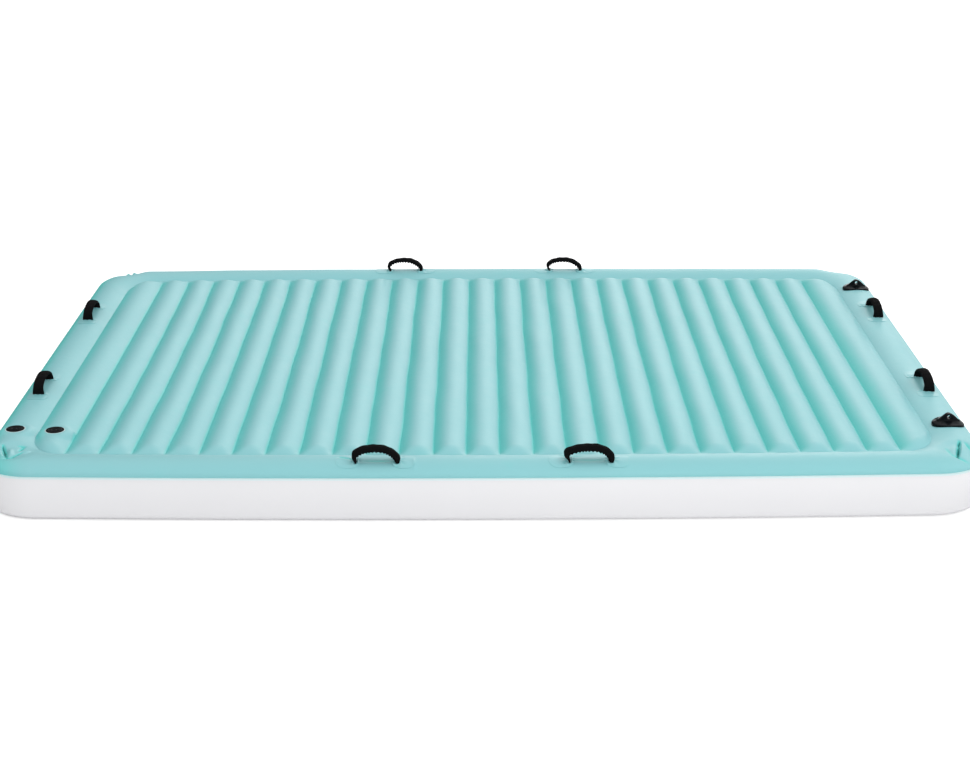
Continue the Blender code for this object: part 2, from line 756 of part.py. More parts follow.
def build_valve(prefix, x, y, crown, sheet):
    """Collar in the sheet, screw-in insert, its seal, its one-way flap and its hinged cap."""
    seat = empty_at(prefix + "_valve_seat", (x, y, crown))
    base = turned(
        prefix + "_valve_base",
        [
            (VALVE_RADIUS, VALVE_TOP), (VALVE_RADIUS, -VALVE_DEPTH),
            (VALVE_BORE_RADIUS, -VALVE_DEPTH), (VALVE_BORE_RADIUS, VALVE_TOP),
        ],
        BLACK_PLASTIC,
    )
    carry(base, seat)
    inner = INSERT_BARREL_RADIUS - INSERT_WALL
    floor = CAP_SEAT - INSERT_FLOOR
    neck_end = INSERT_RISE - INSERT_NECK_LENGTH
    barrel_end = INSERT_RISE - INSERT_LENGTH
    seat_radius = CAP_RADIUS + GAP
    insert = turned(
        prefix + "_valve_insert",
        [
            (VALVE_RADIUS - GAP, INSERT_RISE), (VALVE_RADIUS - GAP, INSERT_SEAT),
            (INSERT_BARREL_RADIUS, INSERT_SEAT), (INSERT_BARREL_RADIUS, barrel_end),
            (inner, barrel_end), (inner, floor),
            (INSERT_NECK_RADIUS, floor), (INSERT_NECK_RADIUS, neck_end),
            (INSERT_BORE_RADIUS, neck_end), (INSERT_BORE_RADIUS, CAP_SEAT),
            (seat_radius, CAP_SEAT), (seat_radius, INSERT_RISE),
        ],
        BLACK_PLASTIC,
    )
    carry(insert, seat)
    bpy.ops.mesh.primitive_torus_add(
        major_radius=SEAL_RADIUS, minor_radius=SEAL_CORD_RADIUS,
        major_segments=SEAL_SIDES, minor_segments=SEAL_CORD_SIDES,
    )
    seal_mesh = bpy.context.object.data
    bpy.data.objects.remove(bpy.context.object)
    seal = new_object(prefix + "_valve_seal", seal_mesh, BLACK_RUBBER)
    smooth_rounds(seal_mesh)
    carry(seal, insert, (0, 0, (INSERT_SEAT + VALVE_TOP) / 2))
    build_flap(prefix, insert)
    build_cap(prefix, insert)
    hole = round_tool(
        prefix + "_valve_hole", VALVE_RADIUS + GAP, 2 * VALVE_DEPTH, (x, y, crown), (0, 0, 0)
    )
    combine(sheet, hole, "DIFFERENCE")


def build_valves(rim_sheet, core_top):
    y = {chamber: from_front - HALF_WIDTH for chamber, from_front in VALVE_FROM_FRONT.items()}
    rim_x = -rim_lateral("left", y["rim"], RIM_CROWN_SHARE)
    build_valve("rim", rim_x, y["rim"], HEIGHT, rim_sheet)
    core_x = -(CORE_STRAIGHT + END_RIB_WIDTH / 2)
    build_valve("core", core_x, y["core"], END_RIB_CROWN_HEIGHT, core_top)


rim_top = build_rim()
core_top = build_core()
build_handles()
build_lugs()
build_valves(rim_top, core_top)
bpy.context.view_layer.update()
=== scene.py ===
# %% [markdown]
# A giant inflatable floating mat: teal ribbed top, white side band, black handles, lugs and valves.
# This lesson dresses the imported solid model. Each soft or moulded part gets a finer piece that
# stands where its plain solid stands, and moves with the same body.

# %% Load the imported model
import math

import bmesh
import bpy
import numpy as np
from mathutils import Matrix, Vector


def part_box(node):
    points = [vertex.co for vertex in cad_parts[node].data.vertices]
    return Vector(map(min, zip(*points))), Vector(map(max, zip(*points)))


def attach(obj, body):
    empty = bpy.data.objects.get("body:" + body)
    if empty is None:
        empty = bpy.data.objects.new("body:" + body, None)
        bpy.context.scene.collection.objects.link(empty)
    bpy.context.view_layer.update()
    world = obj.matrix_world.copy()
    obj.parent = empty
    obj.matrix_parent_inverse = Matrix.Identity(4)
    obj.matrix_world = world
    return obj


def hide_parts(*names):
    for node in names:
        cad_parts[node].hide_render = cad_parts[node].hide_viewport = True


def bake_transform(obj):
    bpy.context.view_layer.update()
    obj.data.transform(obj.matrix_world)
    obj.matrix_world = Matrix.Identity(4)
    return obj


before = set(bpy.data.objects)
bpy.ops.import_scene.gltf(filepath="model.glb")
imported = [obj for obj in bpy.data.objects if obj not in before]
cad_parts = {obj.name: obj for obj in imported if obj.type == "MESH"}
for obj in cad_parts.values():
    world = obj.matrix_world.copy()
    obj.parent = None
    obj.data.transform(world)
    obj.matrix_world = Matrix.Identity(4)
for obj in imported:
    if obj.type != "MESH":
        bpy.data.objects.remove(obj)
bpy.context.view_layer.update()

# %% [markdown]
# An operator works on everything that is selected, and the loaded nodes are still selected.
# So the selection is cleared first, and again before each new piece.

# %% Clear the selection
ROOT = "mat"


def clear_selection():
    for item in list(bpy.context.selected_objects):
        item.select_set(False)


clear_selection()

# %% [markdown]
# The photograph was taken from in front, a little above the mat, with a long lens. The camera's
# place, tilt and lens were found by matching the mat's corners and valves with the picture.

# %% Set the camera
CAMERA_PLACE = Vector((-0.008, -6.001, 2.108))
CAMERA_PITCH = math.radians(19.02)
CAMERA_YAW = math.radians(0.15)
CAMERA_ROLL = math.radians(-0.15)
CAMERA_LENS = 70.36
CAMERA_SENSOR = 36.0
CAMERA_REACH = 100.0


def set_camera():
    forward = Vector((
        math.sin(CAMERA_YAW) * math.cos(CAMERA_PITCH),
        math.cos(CAMERA_YAW) * math.cos(CAMERA_PITCH),
        -math.sin(CAMERA_PITCH),
    ))
    level = Vector((math.cos(CAMERA_YAW), -math.sin(CAMERA_YAW), 0))
    above = level.cross(forward)
    right = level * math.cos(CAMERA_ROLL) + above * math.sin(CAMERA_ROLL)
    up = above * math.cos(CAMERA_ROLL) - level * math.sin(CAMERA_ROLL)
    turn = Matrix((right, up, -forward)).transposed().to_4x4()
    lens = bpy.data.cameras.new("camera")
    lens.lens = CAMERA_LENS
    lens.sensor_width = CAMERA_SENSOR
    lens.sensor_fit = "HORIZONTAL"
    lens.clip_end = CAMERA_REACH
    camera = bpy.data.objects.new("camera", lens)
    bpy.context.scene.collection.objects.link(camera)
    camera.matrix_world = Matrix.Translation(CAMERA_PLACE) @ turn
    bpy.context.scene.camera = camera
    return camera


camera = set_camera()
print("camera at", tuple(camera.location))

# %% [markdown]
# A product photograph like this one is lit from all sides in a studio. Each rib is bright on its
# right flank and deeper on its left. Part of that is gloss, because the film mirrors a room that
# is bright on the right and dark on the left. The rest is painted shade, a deeper tone laid into
# the film's colour on the left flanks. The world gives that room to reflections only, and an even
# white light to everything else. Two soft lamps add a little shape.

# %% Light the studio
SURROUND_FILL = 0.80
MIRRORED_DARK = 0.05
MIRRORED_BRIGHT = 2.60
MIRRORED_BELOW = 0.30
MIRRORED_CEILING = 1.3
WALL_SPAN = (-0.30, 0.20)
FAR_WALL_SPAN = (0.14, 0.42)
FAR_WALL_SHARE = 0.55
BELOW_SPAN = (-0.2, 0.05)
CEILING_SPAN = (0.35, 0.80)
KEY_PLACE = Vector((7.2, -1.8, 9.4))
KEY_SIZE = 5.0
KEY_POWER = 250.0
FRONT_PLACE = Vector((1.0, -7.4, 3.0))
FRONT_SIZE = 3.0
FRONT_POWER = 105.0
MAT_MIDDLE = Vector((0, 0, 0.1))


def wire(tree, source, target):
    tree.links.new(source, target)


def add_math(tree, operation, first, second=None, third=None):
    node = tree.nodes.new("ShaderNodeMath")
    node.operation = operation
    for socket, value in zip(node.inputs, (first, second, third)):
        if value is None:
            continue
        if isinstance(value, (int, float)):
            socket.default_value = value
        else:
            wire(tree, value, socket)
    return node.outputs[0]


def add_range(tree, value, low, high, to_low, to_high):
    node = tree.nodes.new("ShaderNodeMapRange")
    node.interpolation_type = "SMOOTHSTEP"
    wire(tree, value, node.inputs["Value"])
    node.inputs["From Min"].default_value = low
    node.inputs["From Max"].default_value = high
    node.inputs["To Min"].default_value = to_low
    node.inputs["To Max"].default_value = to_high
    return node.outputs["Result"]


def split_axes(tree, vector):
    node = tree.nodes.new("ShaderNodeSeparateXYZ")
    wire(tree, vector, node.inputs[0])
    return node.outputs


def coordinates(tree, kind):
    return tree.nodes.new("ShaderNodeTexCoord").outputs[kind]


def mix_shaders(tree, factor, first, second):
    node = tree.nodes.new("ShaderNodeMixShader")
    for socket, source in zip(node.inputs, (factor, first, second)):
        wire(tree, source, socket)
    return node.outputs[0]


def add_background(tree, strength):
    node = tree.nodes.new("ShaderNodeBackground")
    node.inputs["Color"].default_value = (1, 1, 1, 1)
    if isinstance(strength, float):
        node.inputs["Strength"].default_value = strength
    else:
        wire(tree, strength, node.inputs["Strength"])
    return node.outputs[0]


def mirrored_strength(tree):
    """What the gloss mirrors: dark on the left, bright on the right and overhead, dim below."""
    parts = split_axes(tree, coordinates(tree, "Generated"))
    walls = add_range(tree, parts["X"], *WALL_SPAN, MIRRORED_DARK, MIRRORED_BRIGHT)
    far = add_range(tree, parts["X"], *FAR_WALL_SPAN, 1.0, FAR_WALL_SHARE)
    walls = add_math(tree, "MULTIPLY", walls, far)
    below = add_range(tree, parts["Z"], *BELOW_SPAN, MIRRORED_BELOW, 1.0)
    walls = add_math(tree, "MULTIPLY", walls, below)
    ceiling = add_range(tree, parts["Z"], *CEILING_SPAN, 0.0, 1.0)
    walls = add_math(tree, "MULTIPLY", walls, add_math(tree, "SUBTRACT", 1.0, ceiling))
    return add_math(tree, "MULTIPLY_ADD", ceiling, MIRRORED_CEILING, walls)


def light_surround():
    world = bpy.data.worlds.new("studio")
    bpy.context.scene.world = world
    world.use_nodes = True
    tree = world.node_tree
    tree.nodes.clear()
    path = tree.nodes.new("ShaderNodeLightPath").outputs
    seen = add_math(tree, "MAXIMUM", path["Is Camera Ray"], path["Is Transmission Ray"])
    fill = add_background(tree, SURROUND_FILL)
    mirrored = add_background(tree, mirrored_strength(tree))
    light = mix_shaders(tree, path["Is Glossy Ray"], fill, mirrored)
    shown = mix_shaders(tree, seen, light, add_background(tree, 1.0))
    output = tree.nodes.new("ShaderNodeOutputWorld")
    wire(tree, shown, output.inputs["Surface"])


def soft_lamp(name, place, size, power):
    """A round lamp that looks at the mat. The gloss doesn't mirror it."""
    lamp = bpy.data.lights.new(name, "AREA")
    lamp.shape = "DISK"
    lamp.size = size
    lamp.energy = power
    made = bpy.data.objects.new(name, lamp)
    bpy.context.scene.collection.objects.link(made)
    made.location = place
    made.rotation_euler = (MAT_MIDDLE - place).to_track_quat("-Z", "Y").to_euler()
    made.visible_glossy = False


bpy.context.scene.view_settings.view_transform = "Standard"
light_surround()
soft_lamp("key_lamp", KEY_PLACE, KEY_SIZE, KEY_POWER)
soft_lamp("front_lamp", FRONT_PLACE, FRONT_SIZE, FRONT_POWER)
print("lamps of", KEY_POWER, "and", FRONT_POWER, "watts")

# %% [markdown]
# The floor is a wide white sheet. To the camera it is pure white, apart from the mat's soft
# shadow: part of its brightness is its own glow, and the rest is light that the mat can block. The
# gloss mirrors the room instead of the floor.

# %% Lay the floor
FLOOR_SIZE = 60.0
FLOOR_DROP = 0.0005
FLOOR_GLOW = 0.55
FLOOR_COLOUR = (0.86, 0.86, 0.86, 1)
FLOOR_ROUGHNESS = 0.9


def new_material(name):
    """A material, its node tree and the shader in it."""
    made = bpy.data.materials.new(name)
    made.use_nodes = True
    return made, made.node_tree, made.node_tree.nodes["Principled BSDF"]


def add_glow(tree, strength):
    node = tree.nodes.new("ShaderNodeEmission")
    node.inputs["Strength"].default_value = strength
    return node.outputs[0]


def floor_finish():
    made, tree, surface = new_material("studio_floor")
    surface.inputs["Base Color"].default_value = FLOOR_COLOUR
    surface.inputs["Roughness"].default_value = FLOOR_ROUGHNESS
    surface.inputs["Specular IOR Level"].default_value = 0.0
    seen = tree.nodes.new("ShaderNodeLightPath").outputs["Is Camera Ray"]
    glow = mix_shaders(tree, seen, add_glow(tree, 0.0), add_glow(tree, FLOOR_GLOW))
    both = tree.nodes.new("ShaderNodeAddShader")
    wire(tree, surface.outputs[0], both.inputs[0])
    wire(tree, glow, both.inputs[1])
    wire(tree, both.outputs[0], tree.nodes["Material Output"].inputs["Surface"])
    return made


clear_selection()
bpy.ops.mesh.primitive_plane_add(size=FLOOR_SIZE, location=(0, 0, -FLOOR_DROP))
floor = bpy.context.object
floor.name = "studio_floor"
floor.data.materials.append(floor_finish())
bpy.ops.object.transform_apply(location=True, rotation=True, scale=True)
floor.visible_glossy = False
print("floor", FLOOR_SIZE, "m wide")

# %% [markdown]
# Vinyl film isn't a flat colour. It is calendered between steel rollers, which leaves a very fine
# grain, its colour drifts slightly, and it carries faint marks from having been folded in its box.
# Each teal mesh stores a value called film_stretch. 1 gives the plain colour, 0 a
# deeper painted shade, and below 0 a darker painted shade, as shade falls in a fold or crease. The
# same value paints shade on the left flanks of the ribs and of the left rim, because the
# photograph shows them deeper. Patchy noise also deepens the colour at random. Several films share
# these effects, so they are one node group, with values for each film.

# %% Helpers for node groups
def start_group(name, inputs, outputs):
    group = bpy.data.node_groups.new(name, "ShaderNodeTree")
    for title, kind, value in inputs:
        socket = group.interface.new_socket(title, in_out="INPUT", socket_type=kind)
        socket.default_value = value
    for title, kind in outputs:
        group.interface.new_socket(title, in_out="OUTPUT", socket_type=kind)
    entry = group.nodes.new("NodeGroupInput")
    leave = group.nodes.new("NodeGroupOutput")
    return group, entry, leave


def add_noise(tree, place, scale, detail=2.0, roughness=0.5):
    node = tree.nodes.new("ShaderNodeTexNoise")
    node.inputs["Scale"].default_value = scale
    node.inputs["Detail"].default_value = detail
    node.inputs["Roughness"].default_value = roughness
    wire(tree, place, node.inputs["Vector"])
    return node.outputs["Fac"]


def scale_colour(tree, colour, factor):
    node = tree.nodes.new("ShaderNodeVectorMath")
    node.operation = "SCALE"
    wire(tree, colour, node.inputs[0])
    wire(tree, factor, node.inputs["Scale"])
    return node.outputs[0]


def mix_colour(tree, factor, first, second):
    node = tree.nodes.new("ShaderNodeMix")
    node.data_type = "RGBA"
    wire(tree, factor, node.inputs[0])
    for socket, value in ((node.inputs[6], first), (node.inputs[7], second)):
        if isinstance(value, tuple):
            socket.default_value = value
        else:
            wire(tree, value, socket)
    return node.outputs[2]

# %% The film's surface, as a node group
CLOUD_SCALE = 2.3
PATCHY_SCALE = 9.0
PATCHY_SPAN = (0.56, 0.80)
PATCHY_DEPTH = 0.12
PAINTED_FOLD_SHADE = 0.42
RUBBED_SCALE = 26.0
RUBBED_SPREAD = 0.16
GRAIN_SCALE = 900.0
GRAIN_HEIGHT = 0.00004
RIPPLE_SCALE = 34.0
RIPPLE_HEIGHT = 0.0007
MARK_SCALE = 4.5
MARK_WIDTH = 0.012
MARK_DEPTH = 0.00010
COLOUR = "NodeSocketColor"
NUMBER = "NodeSocketFloat"
SURFACE_OUTPUTS = (("Colour", COLOUR), ("Roughness", NUMBER), ("Height", NUMBER))


def film_group():
    inputs = (
        ("Painted Shade And Patchy Colour", COLOUR, (0.2, 0.6, 0.6, 1)),
        ("Plain Colour", COLOUR, (0.5, 0.8, 0.8, 1)),
        ("Painted Lightness", NUMBER, 1.0),
        ("Roughness", NUMBER, 0.35),
        ("Drift", NUMBER, 0.05),
    )
    group, entry, leave = start_group("vinyl_film_surface", inputs, SURFACE_OUTPUTS)
    place = coordinates(group, "Object")
    stretch = entry.outputs["Painted Lightness"]
    cloud = add_math(group, "SUBTRACT", add_noise(group, place, CLOUD_SCALE, 3.0), 0.5)
    drift = add_math(group, "MULTIPLY", cloud, entry.outputs["Drift"])
    shade = add_math(group, "ADD", add_math(group, "MULTIPLY", drift, 2.0), 1.0)
    patchy = add_noise(group, place, PATCHY_SCALE, 4.0, 0.6)
    patchy = add_range(group, patchy, *PATCHY_SPAN, 0.0, PATCHY_DEPTH)
    # Painted lightness, less a patchy random tone, mixes the plain colour with the deeper painted
    # shade colour
    plain_tone = add_math(group, "SUBTRACT", stretch, patchy)
    tinted = mix_colour(group, plain_tone, entry.outputs["Painted Shade And Patchy Colour"], entry.outputs["Plain Colour"])
    # Painted shade: below 0 the colour darkens, as shade falls in a fold or crease
    painted_fold_shade = add_range(group, stretch, -1.0, 0.0, PAINTED_FOLD_SHADE, 1.0)
    shade = add_math(group, "MULTIPLY", shade, painted_fold_shade)
    wire(group, scale_colour(group, tinted, shade), leave.inputs["Colour"])
    rubbed = add_math(group, "SUBTRACT", add_noise(group, place, RUBBED_SCALE, 4.0, 0.65), 0.5)
    spread = add_math(group, "MULTIPLY", rubbed, RUBBED_SPREAD)
    rough = add_math(group, "ADD", entry.outputs["Roughness"], spread)
    wire(group, rough, leave.inputs["Roughness"])
    marks = group.nodes.new("ShaderNodeTexVoronoi")
    marks.feature = "DISTANCE_TO_EDGE"
    marks.inputs["Scale"].default_value = MARK_SCALE
    wire(group, place, marks.inputs["Vector"])
    crease_lines = add_range(group, marks.outputs["Distance"], 0.0, MARK_WIDTH, -1.0, 0.0)
    ripple = add_noise(group, place, RIPPLE_SCALE, 2.0)
    grain = add_noise(group, place, GRAIN_SCALE, 2.0, 0.6)
    height = add_math(group, "MULTIPLY", grain, GRAIN_HEIGHT)
    for relief, size in ((ripple, RIPPLE_HEIGHT), (crease_lines, MARK_DEPTH)):
        height = add_math(group, "ADD", height, add_math(group, "MULTIPLY", relief, size))
    wire(group, height, leave.inputs["Height"])
    return group


FILM_GROUP = film_group()
print("the film's surface has", len(FILM_GROUP.nodes), "nodes")

# %% Finishes of the films
FILM_IOR = 1.53
FILM_BUMP = 0.6
PAINTED_SHADE_AND_PATCHY_TEAL = (0.105, 0.600, 0.570)
PLAIN_TEAL = (0.240, 0.557, 0.588)
WHITE_LOOK = ((0.78, 0.78, 0.80), (0.82, 0.82, 0.84), 0.40, 0.02)
WELD_LOOK = ((0.52, 0.72, 0.72), (0.62, 0.80, 0.80), 0.34, 0.03)


def add_bump(tree, height, strength, surface):
    bump = tree.nodes.new("ShaderNodeBump")
    bump.inputs["Strength"].default_value = strength
    bump.inputs["Distance"].default_value = 1.0
    wire(tree, height, bump.inputs["Height"])
    wire(tree, bump.outputs["Normal"], surface.inputs["Normal"])


def place_effect(tree, surface, group, values, bump):
    """Puts a surface's group into a material with its own values, and wires what it gives."""
    effect = tree.nodes.new("ShaderNodeGroup")
    effect.node_tree = group
    for title, value in values.items():
        effect.inputs[title].default_value = value
    wire(tree, effect.outputs["Colour"], surface.inputs["Base Color"])
    wire(tree, effect.outputs["Roughness"], surface.inputs["Roughness"])
    add_bump(tree, effect.outputs["Height"], bump, surface)
    return effect


def film_finish(name, deeper_tone, plain_tone, roughness, drift, by_stretch=False):
    made, tree, surface = new_material(name)
    values = {
        "Painted Shade And Patchy Colour": (*deeper_tone, 1), "Plain Colour": (*plain_tone, 1), "Roughness": roughness, "Drift": drift
    }
    effect = place_effect(tree, surface, FILM_GROUP, values, FILM_BUMP)
    if by_stretch:
        stretch = tree.nodes.new("ShaderNodeAttribute")
        stretch.attribute_name = "film_stretch"
        wire(tree, stretch.outputs["Fac"], effect.inputs["Painted Lightness"])
    surface.inputs["IOR"].default_value = FILM_IOR
    made.diffuse_color = (*plain_tone, 1)
    return made


TEAL_FILM = film_finish("teal_film", PAINTED_SHADE_AND_PATCHY_TEAL, PLAIN_TEAL, 0.45, 0.03, True)
TEAL_PATCH = film_finish("teal_patch", PAINTED_SHADE_AND_PATCHY_TEAL, PLAIN_TEAL, 0.34, 0.03, True)
WHITE_FILM = film_finish("white_film", *WHITE_LOOK)
PALE_WELD = film_finish("pale_weld", *WELD_LOOK)
# The second colour is the teal film's painted shade, also used for its patchy random tone
print("teal film", PLAIN_TEAL, "and", PAINTED_SHADE_AND_PATCHY_TEAL, "where it is slack")

# %% [markdown]
# The band's top strip lies over the teal film and is welded to it, so a pale teal shows through it.

# %% The side band's finish
WELD_STRIP_LOW = 0.1300
WELD_STRIP_BLUR = 0.0012
WELD_STRIP_COLOUR = (0.72, 0.86, 0.88, 1)


def band_finish():
    """White film whose top strip shows the teal film that is welded on behind it."""
    made = film_finish("white_band", *WHITE_LOOK)
    tree = made.node_tree
    surface = tree.nodes["Principled BSDF"]
    film_colour = surface.inputs["Base Color"].links[0].from_socket
    height = split_axes(tree, coordinates(tree, "Object"))["Z"]
    strip = add_range(tree, height, WELD_STRIP_LOW, WELD_STRIP_LOW + WELD_STRIP_BLUR, 0.0, 1.0)
    colour = mix_colour(tree, strip, film_colour, WELD_STRIP_COLOUR)
    wire(tree, colour, surface.inputs["Base Color"])
    return made


WHITE_BAND = band_finish()

# %% [markdown]
# Lugs and valves are moulded plastic, whose mould was etched to a fine, even texture, and a little
# grey dust clings to it in clouds. The seals and flaps are soft rubber with more of that dust.
# Handles are woven black webbing: fine threads cross each other, and the weave follows the mesh's
# UV map, which is in metres along and across the webbing.

# %% Finishes of the black parts
DUST_SCALE = 40.0
DUST_SPAN = (0.45, 0.75)
DUST_COLOUR = (0.05, 0.05, 0.052, 1)
DUST_ROUGHNESS = 0.5


def black_group(name, scale, grain_height, dust):
    inputs = (("Colour", COLOUR, (0.01, 0.01, 0.01, 1)), ("Roughness", NUMBER, 0.4))
    group, entry, leave = start_group(name, inputs, SURFACE_OUTPUTS)
    place = coordinates(group, "Object")
    cloud = add_noise(group, place, DUST_SCALE, 4.0, 0.6)
    cloud = add_range(group, cloud, *DUST_SPAN, 0.0, dust)
    colour = mix_colour(group, cloud, entry.outputs["Colour"], DUST_COLOUR)
    wire(group, colour, leave.inputs["Colour"])
    rougher = add_math(group, "MULTIPLY", cloud, DUST_ROUGHNESS)
    rough = add_math(group, "ADD", entry.outputs["Roughness"], rougher)
    wire(group, rough, leave.inputs["Roughness"])
    grain = add_noise(group, place, scale, 2.0, 0.6)
    wire(group, add_math(group, "MULTIPLY", grain, grain_height), leave.inputs["Height"])
    return group


def black_finish(name, group, colour, roughness, gloss):
    made, tree, surface = new_material(name)
    place_effect(tree, surface, group, {"Colour": (*colour, 1), "Roughness": roughness}, 1.0)
    surface.inputs["Specular IOR Level"].default_value = gloss
    made.diffuse_color = (*colour, 1)
    return made


MOULDED_GROUP = black_group("moulded_surface", 1400.0, 0.00003, 0.06)
RUBBER_GROUP = black_group("rubber_surface", 600.0, 0.00004, 0.20)
BLACK_PLASTIC = black_finish("black_plastic", MOULDED_GROUP, (0.004, 0.005, 0.006), 0.20, 0.05)
BLACK_RUBBER = black_finish("black_rubber", RUBBER_GROUP, (0.008, 0.008, 0.008), 0.6, 0.03)

# %% Finish of the webbing
WARP_PITCH = 0.0016
WEFT_PITCH = 0.0022
WEAVE_HEIGHT = 0.00018
WEBBING_DARK = (0.003, 0.003, 0.003, 1)
WEBBING_PALE = (0.009, 0.009, 0.010, 1)
WEBBING_PLAIN = (0.01, 0.01, 0.01, 1)
WEBBING_ROUGHNESS = 0.8
WEBBING_GLOSS = 0.02


def threads(tree, distance, pitch):
    return add_math(tree, "SINE", add_math(tree, "MULTIPLY", distance, 2 * math.pi / pitch))


def webbing_finish():
    made, tree, surface = new_material("black_webbing")
    parts = split_axes(tree, coordinates(tree, "UV"))
    warp = threads(tree, parts["Y"], WARP_PITCH)
    weft = threads(tree, parts["X"], WEFT_PITCH)
    weave = add_math(tree, "MULTIPLY", warp, weft)
    shade = add_range(tree, weave, -1.0, 1.0, 0.0, 1.0)
    colour = mix_colour(tree, shade, WEBBING_DARK, WEBBING_PALE)
    wire(tree, colour, surface.inputs["Base Color"])
    surface.inputs["Roughness"].default_value = WEBBING_ROUGHNESS
    surface.inputs["Specular IOR Level"].default_value = WEBBING_GLOSS
    add_bump(tree, add_math(tree, "MULTIPLY", weave, WEAVE_HEIGHT), 1.0, surface)
    made.diffuse_color = WEBBING_PLAIN
    return made


BLACK_WEBBING = webbing_finish()
print("webbing's threads lie", WARP_PITCH, "and", WEFT_PITCH, "m apart")

# %% [markdown]
# The mat's plan is a rounded rectangle whose long sides bow outwards a little. The rim lies
# between two such outlines, the outer seam and the groove round the core. Both are drawn with
# the same steps, so a straight line joins each pair of points across the rim. The steps are
# small at the corners, where the film puckers, beside the valve and at the front handles.

# %% The mat's sizes
HEIGHT = 0.174
FILM = 0.0006
SIDE_BOW = 0.020
CORNER_X = 1.28
CORNER_Y = 0.875
SEAM_RADIUS = 0.164
GROOVE_X = 1.205
GROOVE_Y = 0.762
GROOVE_RADIUS = 0.112
GROOVE_RADIUS_Y = 0.150
TOP_SEAM = 0.137
LOW_SEAM = 0.022
GROOVE_HEIGHT = 0.156
VALVE_AT = {"rim": (-1.3805, -0.747), "core": (-1.261, -0.759)}
FINE_STEP = 0.0035
COARSE_STEP = 0.022
HOLE_RADIUS = 0.0250
FINE_REACH = 0.060
CORNER_STEPS = 72
FRONT_SPOTS = (CORNER_X - 0.390, CORNER_X - 0.195)
SPOT_REACH = 0.05
CORNER_WAYS = ((1, 1), (-1, 1), (-1, -1), (1, -1))


def side_steps(length, fine_spots=()):
    """Distances along a straight side: fine near its ends and near the given spots."""
    places = [0.0]
    while places[-1] < length - 1e-6:
        here = places[-1]
        near_end = min(here, length - here) < FINE_REACH
        near_spot = any(abs(here - spot) < SPOT_REACH for spot in fine_spots)
        places.append(here + (FINE_STEP if near_end or near_spot else COARSE_STEP))
    scale = length / places[-1]
    return np.array([place * scale for place in places[:-1]]) / length


def side_bow(share):
    """How far a long side stands out at a share of its half length, more in its middle."""
    return SIDE_BOW * (1 - share ** 2)


def plan_line(half_x, half_y, reach, reach_y):
    """Points anticlockwise round the mat, from the right side's back corner."""
    valve_spot = CORNER_Y + abs(VALVE_AT["rim"][1])
    sides = (
        side_steps(2 * CORNER_X), side_steps(2 * CORNER_Y, [valve_spot]),
        side_steps(2 * CORNER_X, FRONT_SPOTS), side_steps(2 * CORNER_Y),
    )
    points = []
    for number, (way_x, way_y) in enumerate(CORNER_WAYS):
        angles = math.pi / 2 * (number + np.arange(CORNER_STEPS) / CORNER_STEPS)
        x = way_x * half_x + reach * np.cos(angles)
        y = way_y * half_y + reach_y * np.sin(angles)
        points.append(np.stack((x, y), 1))
        shares = 1 - 2 * sides[number]
        if number % 2 == 0:
            x = way_y * half_x * shares
            y = way_y * (half_y + reach_y + side_bow(shares))
        else:
            x = np.full(len(shares), way_x * (half_x + reach))
            y = way_y * half_y * shares
        points.append(np.stack((x, y), 1))
    return np.concatenate(points)


def seam_line(inset=0.0):
    reach = SEAM_RADIUS - inset
    return plan_line(CORNER_X, CORNER_Y, reach, reach)


def at_height(line, height):
    """The points of a plan line, all at one height."""
    return np.column_stack((line, np.full(len(line), height)))


SEAM = seam_line()
GROOVE = plan_line(GROOVE_X, GROOVE_Y, GROOVE_RADIUS, GROOVE_RADIUS_Y)
print("points round the rim", len(SEAM), "groove", len(GROOVE))

# %% [markdown]
# A film is made as an open surface: rows of points joined by four-sided faces. A Solidify
# modifier then gives it its real thickness of 0.6 mm, on the inner side, so the outer face keeps
# its place. That closes the mesh, as a real sheet is closed.

# %% Helpers for films
def make_piece(name, mesh, finish):
    made = bpy.data.objects.new(name, mesh)
    bpy.context.scene.collection.objects.link(made)
    made.data.materials.clear()
    made.data.materials.append(finish)
    return made


def grid_faces(rows, columns, wraps):
    last = columns if wraps else columns - 1
    faces = []
    for row in range(rows - 1):
        low, high = row * columns, (row + 1) * columns
        for i in range(last):
            after = (i + 1) % columns
            faces.append((low + i, low + after, high + after, high + i))
    return faces


def store_stretch(mesh, values):
    """Keeps the value that sets the film's painted shade at each point, for the finish to read."""
    stored = mesh.attributes.new("film_stretch", "FLOAT", "POINT")
    stored.data.foreach_set("value", np.asarray(values, np.float32).ravel())


def film_mesh(name, points, wraps, flip=False, stretch=None, hole=None):
    """A mesh through a grid of points, with the film's painted lightness at each and a hole for a
    valve.
    """
    rows, columns, _ = points.shape
    faces = grid_faces(rows, columns, wraps)
    if hole is not None:
        away = np.linalg.norm(points.reshape(-1, 3)[:, :2] - np.array(hole), axis=1)
        faces = [face for face in faces if max(away[i] for i in face) > HOLE_RADIUS]
    if flip:
        faces = [face[::-1] for face in faces]
    mesh = bpy.data.meshes.new(name)
    mesh.from_pydata(points.reshape(-1, 3).tolist(), [], faces)
    if stretch is not None:
        store_stretch(mesh, stretch)
    mesh.update()
    return mesh


def only_select(target):
    clear_selection()
    target.select_set(True)
    bpy.context.view_layer.objects.active = target


def apply_modifier(target, modifier):
    only_select(target)
    bpy.ops.object.modifier_apply(modifier=modifier.name)


def smooth_edges(target, degrees):
    only_select(target)
    bpy.ops.object.shade_smooth_by_angle(angle=math.radians(degrees))


def thicken(target, thickness=FILM, offset=-1.0, smooth=40):
    wall = target.modifiers.new("thickness", "SOLIDIFY")
    wall.thickness = thickness
    wall.offset = offset
    wall.use_even_offset = True
    apply_modifier(target, wall)
    smooth_edges(target, smooth)
    return target


